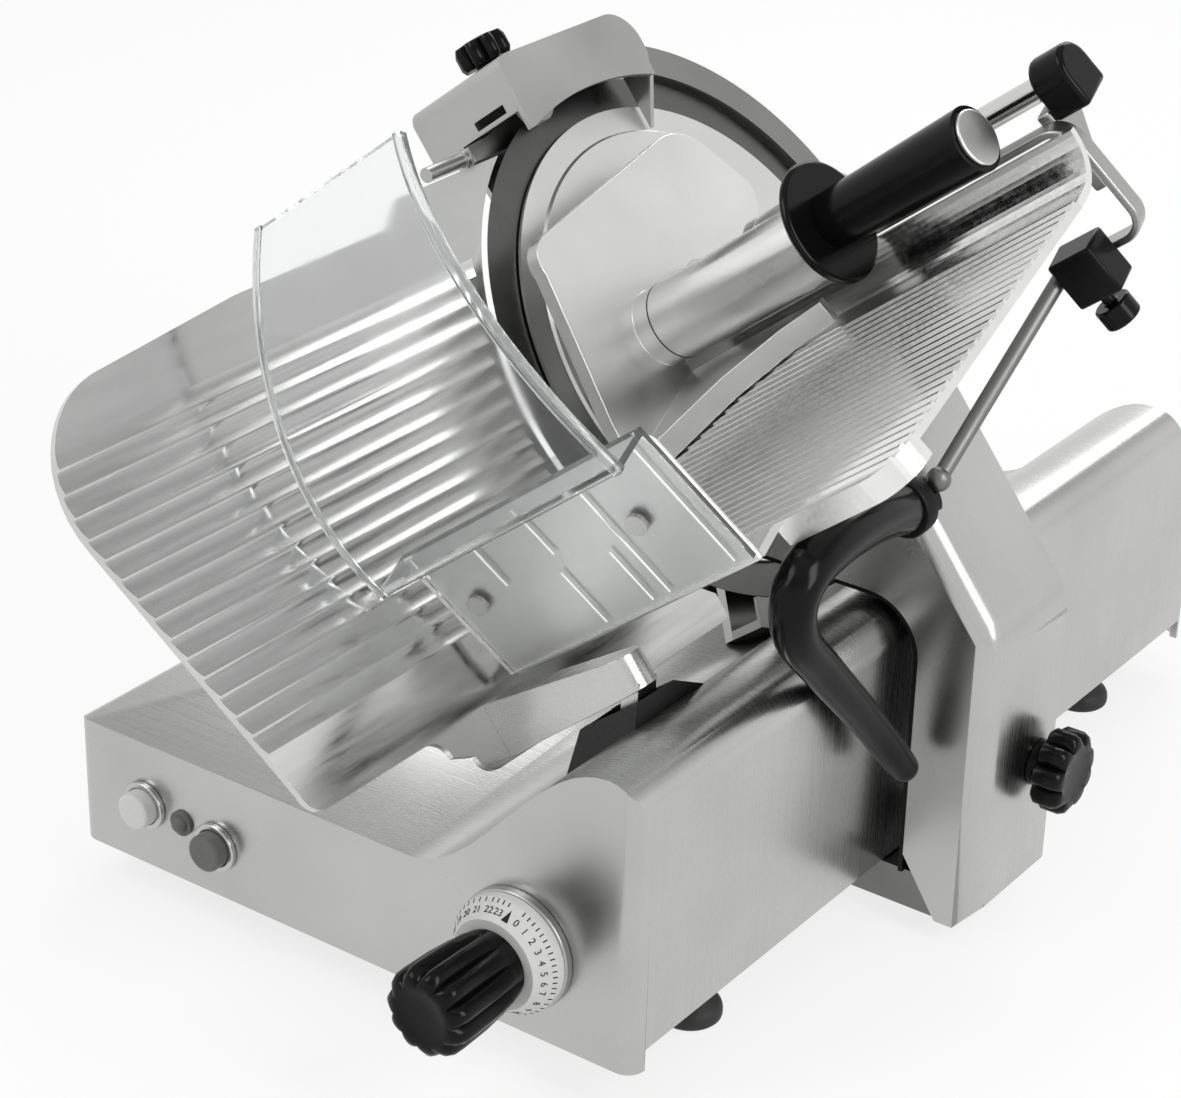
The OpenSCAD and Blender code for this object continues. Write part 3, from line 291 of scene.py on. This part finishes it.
def cad_piece(node, bm, edge_radius=None):
    """The piece that stands for a CAD node, its edges rounded where a radius is given."""
    piece = new_piece(node + "_body", bm, NODE_MATERIAL[node], BODY_OF[node],
                      CAD_SHARP)
    if edge_radius:
        rounding = piece.modifiers.new("rounding", "BEVEL")
        rounding.width = edge_radius
        rounding.segments = ROUND_STEPS
        rounding.limit_method = "ANGLE"
        rounding.angle_limit = math.radians(ROUNDED_FROM)
        rounding.miter_outer = "MITER_ARC"
    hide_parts(node)


def round_rims(bm, edges, radius, steps):
    bmesh.ops.bevel(bm, geom=edges, offset=radius, segments=steps, profile=0.5,
                    affect="EDGES", clamp_overlap=True)


def skin(bm, rings):
    """Joins closed rings of points in turn, and closes both ends."""
    count = len(rings[0])
    for low, high in zip(rings, rings[1:]):
        for i in range(count):
            j = (i + 1) % count
            bm.faces.new((low[i], low[j], high[j], high[i]))
    bm.faces.new(list(reversed(rings[0])))
    bm.faces.new(rings[-1])
    bmesh.ops.recalc_face_normals(bm, faces=bm.faces)


def lathe(profile, sides, place, radius_at=None):
    """Turns (radius, height) points about local z. radius_at(angle, k) scales ring k there."""
    bm = bmesh.new()
    rings = []
    for k, (radius, height) in enumerate(profile):
        ring = []
        for i in range(sides):
            angle = 2 * math.pi * i / sides
            r = radius * (radius_at(angle, k) if radius_at else 1.0)
            ring.append(bm.verts.new(place @ Vector((r * math.cos(angle), r * math.sin(angle),
                                                     height))))
        rings.append(ring)
    skin(bm, rings)
    return bm


def tube(points, radii, sides):
    """A round tube along points, with a radius at each and closed ends."""
    bm = bmesh.new()
    rings = []
    side = None
    for k, point in enumerate(points):
        ahead = points[min(k + 1, len(points) - 1)] - points[max(k - 1, 0)]
        ahead.normalize()
        if side is None:
            side = ahead.orthogonal().normalized()
        side = (side - ahead * side.dot(ahead)).normalized()
        other = ahead.cross(side)
        rings.append([bm.verts.new(point + radii[k] * (math.cos(a) * side + math.sin(a) * other))
                      for a in (2 * math.pi * i / sides for i in range(sides))])
    skin(bm, rings)
    return bm


def spline(points, steps):
    """Catmull-Rom curve through points, as a list of rows of the points' own length."""
    out = []
    last = len(points) - 1
    for k in range(last):
        p0, p1 = points[max(k - 1, 0)], points[k]
        p2, p3 = points[k + 1], points[min(k + 2, last)]
        for i in range(steps):
            t = i / steps
            out.append([0.5 * (2 * b + (c - a) * t + (2 * a - 5 * b + 4 * c - d) * t * t
                               + (3 * b - a - 3 * c + d) * t ** 3)
                        for a, b, c, d in zip(p0, p1, p2, p3)])
    out.append(list(points[last]))
    return out


# Pieces that keep their CAD shape, with their edges rounded by this many millimetres
ROUNDING = {
    "sharpener_hood": 3, "deflector_spout": 1.5, "rubber_boot": 3, "rubber_feet": 3,
    "ring_guard": 1.2, "gauge_bracket": 2.5, "tray_rim": 2, "rod_block": 3, "rod_bracket": 2,
    "clamp_block": 2, "tray_front_wall": 1.5, "pusher_plate": 2.5, "dial_bezel": 1.2,
    "grip_disc": 2.4, "off_bezel": 1, "on_bezel": 1, "off_button": 2, "on_button": 2,
    "grip_cap": 1, "thumb_screw": 1.5, "blade_housing": 2, "gauge_plate": 0.8,
    "pusher_sleeve": 1.5,
}
for node_name, radius in ROUNDING.items():
    cad_piece(node_name, cad_copy(node_name), mm(radius))

# Foot of the carriage, with large rounded front, back and shoulder edges. Its outer skin is
# upright up to the shoulder, and slants from there up to FOOT_TOP
FOOT_X, FOOT_FRONT, FOOT_BACK = FOOT_HIGH[0], FOOT_LOW[1], FOOT_HIGH[1]
FOOT_TOP = Vector((mm(173.79), 0, mm(350.61)))
FOOT_SLANT = Vector((math.cos(TILT), 0, math.sin(TILT)))
FOOT_SHOULDER_Z = FOOT_TOP.z - (FOOT_X - FOOT_TOP.x) / math.tan(TILT)
FRONT_RADIUS, FRONT_STEPS = mm(14), 6
BACK_RADIUS, BACK_STEPS = mm(5), 4


def on_foot_skin(point):
    slanted = abs((point - FOOT_TOP).dot(FOOT_SLANT)) < NEAR
    return slanted or abs(point.x - FOOT_X) < NEAR


def on_shoulder(point):
    return abs(point.x - FOOT_X) < NEAR and abs(point.z - FOOT_SHOULDER_Z) < NEAR


def foot_rim(bm, at_y):
    return [edge for edge in bm.edges
            if all(on_foot_skin(v.co) and abs(v.co.y - at_y) < NEAR for v in edge.verts)]


def foot():
    bm = cad_copy("foot_cover")
    shoulder = [edge for edge in bm.edges if all(on_shoulder(v.co) for v in edge.verts)]
    round_rims(bm, foot_rim(bm, FOOT_FRONT) + shoulder, FRONT_RADIUS, FRONT_STEPS)
    round_rims(bm, foot_rim(bm, FOOT_BACK), BACK_RADIUS, BACK_STEPS)
    cad_piece("foot_cover", bm)


foot()

# Base housing: its front face has a well rounded rim, except low down and at the fittings
FRONT_FITTINGS = [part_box(name) for name in ("off_bezel", "on_bezel", "indicator_lamp",
                                            "dial_bezel")]
FITTING_MARGIN = mm(3)
RIM_LOW_Z = mm(30)
RIM_RADIUS, RIM_STEPS = mm(9), 5
RIM_LEAST_RADIANS = 0.5
BASE_EDGE_RADIUS = mm(4)


def at_fitting(point):
    return any(low[0] - FITTING_MARGIN < point.x < high[0] + FITTING_MARGIN
               and low[2] - FITTING_MARGIN < point.z < high[2] + FITTING_MARGIN
               for low, high in FRONT_FITTINGS)


def on_front_rim(edge):
    middle = (edge.verts[0].co + edge.verts[1].co) / 2
    on_front = all(abs(v.co.y - BASE_FRONT) < NEAR for v in edge.verts)
    return (on_front and middle.z >= RIM_LOW_Z and not at_fitting(middle)
            and edge.calc_face_angle(0) >= RIM_LEAST_RADIANS)


def base():
    bm = cad_copy("base_housing")
    round_rims(bm, [edge for edge in bm.edges if on_front_rim(edge)], RIM_RADIUS, RIM_STEPS)
    cad_piece("base_housing", bm, BASE_EDGE_RADIUS)


base()

# Push handle: one smooth tapering bar from the foot's front corner down to a blunt tip, as
# x, y, z and radius, with a collar at its root given by radius and height
HANDLE = [(212, -60, 281, 15.5), (212, -77, 284, 15.5), (216, -118, 295, 15.2),
          (220, -165, 300, 15), (222, -198, 296, 14.6), (222.4, -213, 281, 14),
          (222.5, -208, 256, 13.2), (224, -182, 226, 12.4), (229, -132, 170, 11),
          (235, -108, 138, 10), (237.5, -101, 128, 9.4)]
HANDLE_STEPS, HANDLE_SIDES = 10, 36
TIP_TURNS, TIP_LENGTH_SHARE = (20, 40, 60, 75, 88), 0.8
COLLAR_PLACE = Matrix.Translation((mm(212), mm(-76), mm(284))) @ TOWARD_USER
COLLAR = [(18.5, -6), (18.5, 3), (17.6, 4.6), (15, 5.2)]
COLLAR_SIDES = 48


def push_handle():
    route = spline(HANDLE, HANDLE_STEPS)
    points = [Vector(row[:3]) * MM for row in route]
    radii = [mm(row[3]) for row in route]
    end, ahead = points[-1], (points[-1] - points[-2]).normalized()
    tip_radius = radii[-1]
    for angle in map(math.radians, TIP_TURNS):
        points.append(end + ahead * tip_radius * TIP_LENGTH_SHARE * math.sin(angle))
        radii.append(tip_radius * math.cos(angle))
    piece = new_piece("push_handle_body", tube(points, radii, HANDLE_SIDES), BLACK, "carriage",
                      HANDLE_SHARP)
    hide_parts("push_handle")
    collar = lathe([(mm(radius), mm(height)) for radius, height in COLLAR], COLLAR_SIDES,
                   COLLAR_PLACE)
    new_piece("push_handle_collar", collar, DARK, "carriage")


push_handle()

# Lips along both long edges of the clear guard, in the tray frame. The guard is an arc about
# GUARD_V and GUARD_W, between two turns in degrees. GUARD_EDGES holds each edge's n, how far it
# is drawn in toward the guard's top, and which way its lip points. The drawing in starts at
# GUARD_LEDGE_W and goes with a power of the height
GUARD_V, GUARD_W, GUARD_R = -155, 106, 220
GUARD_TURNS = (185.5, 125.5)
GUARD_EDGES = ((7.7, 38, 1), (217, -39, -1))
GUARD_LEDGE_W, GUARD_SPAN, GUARD_POWER = 86, 200, 1.8
LIP_WIDTH, LIP_RISE, LIP_STEPS = 6, 1.6, 40
LIP_WALL, LIP_DROP, LIP_CHAMFER, LIP_SEAT = 0.8, 4.2, 0.5, 0.05
LIP_SECTION = ((0, -LIP_DROP), (0, LIP_RISE - LIP_CHAMFER), (LIP_CHAMFER, LIP_RISE),
               (LIP_WIDTH - LIP_CHAMFER, LIP_RISE), (LIP_WIDTH, LIP_RISE - LIP_CHAMFER),
               (LIP_WIDTH, LIP_SEAT), (LIP_WALL, LIP_SEAT), (LIP_WALL, -LIP_DROP))


def guard_lip(number, edge_n, pull, inward):
    bm = bmesh.new()
    rings = []
    start, end = GUARD_TURNS
    for i in range(LIP_STEPS + 1):
        turn = math.radians(start + (end - start) * i / LIP_STEPS)
        out_v, out_w = math.cos(turn), math.sin(turn)
        rise = max(0.0, GUARD_W + GUARD_R * out_w - GUARD_LEDGE_W) / GUARD_SPAN
        n = edge_n + pull * rise ** GUARD_POWER
        rings.append([bm.verts.new(TRAY @ (Vector((n + inward * (across - LIP_WALL),
                                                   GUARD_V + (GUARD_R + out) * out_v,
                                                   GUARD_W + (GUARD_R + out) * out_w)) * MM))
                      for across, out in LIP_SECTION])
    skin(bm, rings)
    new_piece(f"guard_lip_{number}", bm, CLEAR, "carriage", MOULDED_SHARP)


for number, (edge_n, pull, inward) in enumerate(GUARD_EDGES):
    guard_lip(number, edge_n, pull, inward)

# Moulded ridges of the guard's flat panel, each with its n and its two ends in w. They are drawn
# in opaque bright metal as painted highlights, standing for the glints along the clear ridges
RIDGE_V, RIDGE_R, RIDGE_SIDES = -343, 0.9, 12
PANEL_RIDGES = ((14, 70, 84), (58, 44, 78), (98, -4, 36), (104, 48, 82), (138, -4, 34),
                (152, -4, 78), (205, -4, 82))
for number, (n, low_w, high_w) in enumerate(PANEL_RIDGES):
    ends = [TRAY @ (Vector((n, RIDGE_V, w)) * MM) for w in (low_w, high_w)]
    new_piece(f"painted_glint_ridge_{number}", tube(ends, [mm(RIDGE_R)] * len(ends), RIDGE_SIDES),
              PAINTED_SHEEN_CAST, "carriage")

# Seam round the pusher's arm: a thin ring that stands a little off it
ARM_PLACE, ARM_R = Matrix.Translation((mm(58), mm(-78), mm(44))), mm(26)
SEAM_IN, SEAM_OUT, SEAM_SIDES = ARM_R - mm(1), ARM_R + mm(0.15), 64
SEAM_HALF_IN, SEAM_HALF_OUT = mm(0.7), mm(0.45)
SEAM = [(SEAM_IN, -SEAM_HALF_IN), (SEAM_OUT, -SEAM_HALF_OUT), (SEAM_OUT, SEAM_HALF_OUT),
        (SEAM_IN, SEAM_HALF_IN)]
new_piece("pusher_arm_seam", lathe(SEAM, SEAM_SIDES, TRAY @ ARM_PLACE @ OUTWARD), INK,
          BODY_OF["pusher_plate"])

# Thickness knob, lock knob and sharpener knob. Each row is a share of the knob's radius, a
# height in millimetres and how deep the lobes are there. Each stem row is a radius and a height
DIAL_X, DIAL_Z = (DIAL_LOW[0] + DIAL_HIGH[0]) / 2, (DIAL_LOW[2] + DIAL_HIGH[2]) / 2
DIAL_BACK, DIAL_FRONT = DIAL_HIGH[1], DIAL_LOW[1]
LOBE_SIDES, LOBE_POWER = 16, 0.8
KNOB_R, LOCK_R, TOP_R = 28, 27, 19
KNOB_ROWS = [(0.80, 0, 0), (0.84, 3, 0.3), (0.93, 14, 0.8), (0.98, 30, 1), (1, 50, 1),
             (0.99, 57, 1), (0.92, 62, 0.9), (0.80, 64.5, 0.5), (0.66, 65.2, 0),
             (0.55, 64.2, 0), (0.2, 63.8, 0)]
LOCK_STEM = [(5, -23), (5, 0.4), (15, 0.5), (14, 7.8)]
LOCK_ROWS = [(0.9, 8, 1), (1, 11, 1), (1, 22, 1), (0.93, 26, 0.9), (0.78, 28, 0.5),
             (0.62, 27.6, 0), (0.2, 27.2, 0)]
TOP_STEM = [(5, -12), (5, 1), (9, 1.5), (9, 5)]
TOP_ROWS = [(0.9, 5.5, 1), (1, 9, 1), (1, 18, 1), (0.9, 22, 0.8), (0.6, 23, 0), (0.2, 22.8, 0)]


def lobed_knob(node, place, radius, stem, rows, lobes, depth):
    """A knob with a stem and round lobes, standing for a CAD knob."""
    shape = [(r, height, 0) for r, height in stem]
    shape += [(radius * share, height, lobe) for share, height, lobe in rows]

    def lobe_at(angle, k):
        wave = abs(math.sin(lobes * angle / 2)) ** LOBE_POWER
        return 1.0 - depth * shape[k][2] * (1.0 - wave)

    bm = lathe([(mm(r), mm(height)) for r, height, lobe in shape], lobes * LOBE_SIDES, place,
               lobe_at)
    piece = new_piece(node + "_body", bm, BLACK, BODY_OF[node], MOULDED_SHARP)
    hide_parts(node)


lobed_knob("thickness_knob", Matrix.Translation((DIAL_X, DIAL_FRONT, DIAL_Z)) @ TOWARD_USER,
           KNOB_R, [], KNOB_ROWS, lobes=11, depth=0.19)
lobed_knob("lock_knob", Matrix.Translation((FOOT_X, mm(-10), mm(106))) @ OUTWARD,
           LOCK_R, LOCK_STEM, LOCK_ROWS, lobes=9, depth=0.24)
lobed_knob("sharpener_knob", FEED @ Matrix.Translation((mm(-14), mm(-46), mm(217))),
           TOP_R, TOP_STEM, TOP_ROWS, lobes=8, depth=0.26)

# Dial numbers, marks and pointer. The numbers stand NUMBER_STEP degrees apart up to NEAR_END,
# END_STEP apart from FAR_END on, and evenly between the two
DIAL_R, DIAL_TOP_R = DIAL_HIGH[0] - DIAL_X, mm(28.3)
CONE_BACK = DIAL_BACK - mm(6)
CONE = math.atan2(DIAL_R - DIAL_TOP_R, CONE_BACK - DIAL_FRONT)
DIAL_COUNT = 24
FIRST_TURN, NUMBER_STEP, NEAR_END = 22, 12.1, 7
FAR_TURN, END_STEP, FAR_END = 347, 12, 22
NEAR_TURN = FIRST_TURN + NUMBER_STEP * NEAR_END
TICK_HALF_WIDTH, TICK_HALF_LENGTH = 0.35, 1.4
TICK = [(-TICK_HALF_WIDTH, -TICK_HALF_LENGTH), (TICK_HALF_WIDTH, -TICK_HALF_LENGTH),
        (TICK_HALF_WIDTH, TICK_HALF_LENGTH), (-TICK_HALF_WIDTH, TICK_HALF_LENGTH)]
TICK_SHARE, DIGIT_SHARE, WEDGE_SHARE = 0.12, 0.56, 0.5
WEDGE, WEDGE_TURN = [(-2.2, -4.2), (2.2, -4.2), (0, 3.4)], 10.5
MARK_SINK, MARK_RISE = mm(0.2), mm(0.15)
DIGIT_HEIGHT, DIGIT_HALF_DEPTH, DIGIT_RISE = mm(6), mm(0.06), mm(0.1)


def on_dial(turn, share):
    """Place on the dial's cone: turn in degrees clockwise from the top as the user sees it,
    share 0 at the wide edge and 1 at the knob. Local z stands off the cone and local y points
    to the edge."""
    radius = DIAL_R + (DIAL_TOP_R - DIAL_R) * share
    centre = Matrix.Translation((DIAL_X, CONE_BACK + (DIAL_FRONT - CONE_BACK) * share, DIAL_Z))
    spin = Matrix.Rotation(math.radians(turn), 4, "Y")
    lie = Matrix.Rotation(CONE, 4, "X")
    return centre @ spin @ Matrix.Translation((0, 0, radius)) @ lie


def number_turn(number):
    """Degrees clockwise from the top."""
    if number <= NEAR_END:
        return FIRST_TURN + NUMBER_STEP * number
    if number >= FAR_END:
        return FAR_TURN + END_STEP * (number - FAR_END)
    return NEAR_TURN + (FAR_TURN - NEAR_TURN) * (number - NEAR_END) / (FAR_END - NEAR_END)


def dial_marks(name, marks):
    """Thin raised figures on the dial's cone: each is a turn, a share and its outline."""
    bm = bmesh.new()
    for turn, share, outline in marks:
        place = on_dial(turn, share)
        skin(bm, [[bm.verts.new(place @ Vector((mm(x), mm(y), z))) for x, y in outline]
                  for z in (-MARK_SINK, MARK_RISE)])
    new_piece(name, bm, INK, "dial")


ticks = []
for i in range(DIAL_COUNT):
    turn = number_turn(i)
    after = number_turn(i + 1) if i < DIAL_COUNT - 1 else turn + END_STEP
    ticks += [(turn, TICK_SHARE, TICK), ((turn + after) / 2, TICK_SHARE, TICK)]
    curve = bpy.data.curves.new(f"digit_{i}", "FONT")
    curve.body = str(i)
    curve.size = DIGIT_HEIGHT
    curve.extrude = DIGIT_HALF_DEPTH
    curve.align_x = "CENTER"
    curve.align_y = "CENTER"
    label = bpy.data.objects.new(f"dial_number_{i}", curve)
    bpy.context.collection.objects.link(label)
    curve.materials.append(INK)
    label.matrix_world = on_dial(turn, DIGIT_SHARE) @ Matrix.Translation((0, 0, DIGIT_RISE))
    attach(label, "dial")
dial_marks("dial_ticks", ticks)
dial_marks("dial_wedge", [(WEDGE_TURN, WEDGE_SHARE, WEDGE)])

# Floor
FLOOR_HALF = 40.0
FLOOR_LEVEL, FLOOR_ROUGH, FLOOR_GLOW = 0.9, 0.9, 0.78
floor_mesh = bpy.data.meshes.new("floor")
floor_mesh.from_pydata([(x * FLOOR_HALF, y * FLOOR_HALF, 0)
                        for x, y in ((-1, -1), (1, -1), (1, 1), (-1, 1))], [], [(0, 1, 2, 3)])
floor = bpy.data.objects.new("floor", floor_mesh)
bpy.context.collection.objects.link(floor)
floor_mat, floor_tree, floor_shader = principled("pale_floor", (FLOOR_LEVEL,) * 3,
                                                 roughness=FLOOR_ROUGH)
floor_mesh.materials.append(floor_mat)

# Sky: white near the horizon, darker above it and pale again overhead, so that metal shows its
# forms. Each row is a height and a level
SKY = [(0.0, 1.0), (0.36, 1.0), (0.6, 0.5), (0.8, 0.45), (1.0, 0.9)]
SKY_STRENGTH = 0.75
world = bpy.data.worlds.new("studio")
bpy.context.scene.world = world
world.use_nodes = True
world_tree = world.node_tree
sky = world_tree.nodes.new("ShaderNodeTexCoord")
sky_height = world_tree.nodes.new("ShaderNodeSeparateXYZ")
world_tree.links.new(sky.outputs["Generated"], sky_height.inputs[0])
sky_tint = world_tree.nodes.new("ShaderNodeValToRGB")
while len(sky_tint.color_ramp.elements) < len(SKY):
    sky_tint.color_ramp.elements.new(0.5)
for element, (height, level) in zip(sky_tint.color_ramp.elements, SKY):
    element.position = height
    element.color = (level, level, level, 1.0)
world_tree.links.new(sky_height.outputs["Z"], sky_tint.inputs["Fac"])
ambient = world_tree.nodes["Background"]
world_tree.links.new(sky_tint.outputs["Color"], ambient.inputs["Color"])
ambient.inputs["Strength"].default_value = SKY_STRENGTH


def seen_rays(tree):
    """1 for camera, glossy and transmission rays, 0 for those that light the object."""
    path = tree.nodes.new("ShaderNodeLightPath")
    total = path.outputs["Is Camera Ray"]
    for name in ("Is Glossy Ray", "Is Transmission Ray"):
        larger = tree.nodes.new("ShaderNodeMath")
        larger.operation = "MAXIMUM"
        tree.links.new(total, larger.inputs[0])
        tree.links.new(path.outputs[name], larger.inputs[1])
        total = larger.outputs[0]
    return total


def blend_shaders(tree, share, lighting, seen, output):
    """Sends the first shader to the output, mixed by the share with the second."""
    blend = tree.nodes.new("ShaderNodeMixShader")
    tree.links.new(share, blend.inputs["Fac"])
    tree.links.new(lighting.outputs[0], blend.inputs[1])
    tree.links.new(seen.outputs[0], blend.inputs[2])
    tree.links.new(blend.outputs[0], tree.nodes[output].inputs["Surface"])


# What the eye and the reflections see is brighter than what lights the object
backdrop = world_tree.nodes.new("ShaderNodeBackground")
world_tree.links.new(sky_tint.outputs["Color"], backdrop.inputs["Color"])
blend_shaders(world_tree, seen_rays(world_tree), ambient, backdrop, "World Output")

glow = floor_tree.nodes.new("ShaderNodeEmission")
glow_share = floor_tree.nodes.new("ShaderNodeMapRange")
glow_share.inputs["To Max"].default_value = FLOOR_GLOW
floor_tree.links.new(seen_rays(floor_tree), glow_share.inputs["Value"])
blend_shaders(floor_tree, glow_share.outputs["Result"], floor_shader, glow, "Material Output")

# Lamps: name, place, size and power in watts
LAMPS = [("key", (-1.2, -1.6, 2.2), (1.4, 1.4), 26),
         ("side", (2.1, -0.2, 1.6), (0.8, 1.8), 30),
         ("back", (-0.6, 2.0, 1.8), (2.0, 0.8), 20)]
LAMP_TARGET = Vector((0.0, 0.0, 0.25))
for name, place, size, power in LAMPS:
    data = bpy.data.lights.new(name, "AREA")
    data.shape = "RECTANGLE"
    data.size, data.size_y = size
    data.energy = power
    lamp = bpy.data.objects.new(name, data)
    lamp.location = place
    lamp.rotation_euler = (LAMP_TARGET - Vector(place)).to_track_quat("-Z", "Y").to_euler()
    bpy.context.collection.objects.link(lamp)

# Camera
CAMERA_PLACE = Vector((1.034, -1.550, 1.089))
CAMERA_AZIMUTH = math.radians(35.42)
CAMERA_HEIGHT_ANGLE = math.radians(26.53)
CAMERA_ROLL = math.radians(1.44)
FOCAL_PIXELS = 3171
IMAGE_WIDTH = 1181
SENSOR_MM = 36
camera_data = bpy.data.cameras.new("camera")
camera_data.sensor_width = SENSOR_MM
camera_data.sensor_fit = "HORIZONTAL"
camera_data.lens = FOCAL_PIXELS / IMAGE_WIDTH * SENSOR_MM
camera = bpy.data.objects.new("camera", camera_data)
bpy.context.collection.objects.link(camera)
camera.matrix_world = (Matrix.Translation(CAMERA_PLACE)
                       @ Matrix.Rotation(CAMERA_AZIMUTH, 4, "Z")
                       @ Matrix.Rotation(math.pi / 2 - CAMERA_HEIGHT_ANGLE, 4, "X")
                       @ Matrix.Rotation(CAMERA_ROLL, 4, "Z"))
bpy.context.scene.camera = camera
bpy.context.scene.view_settings.view_transform = "Standard"
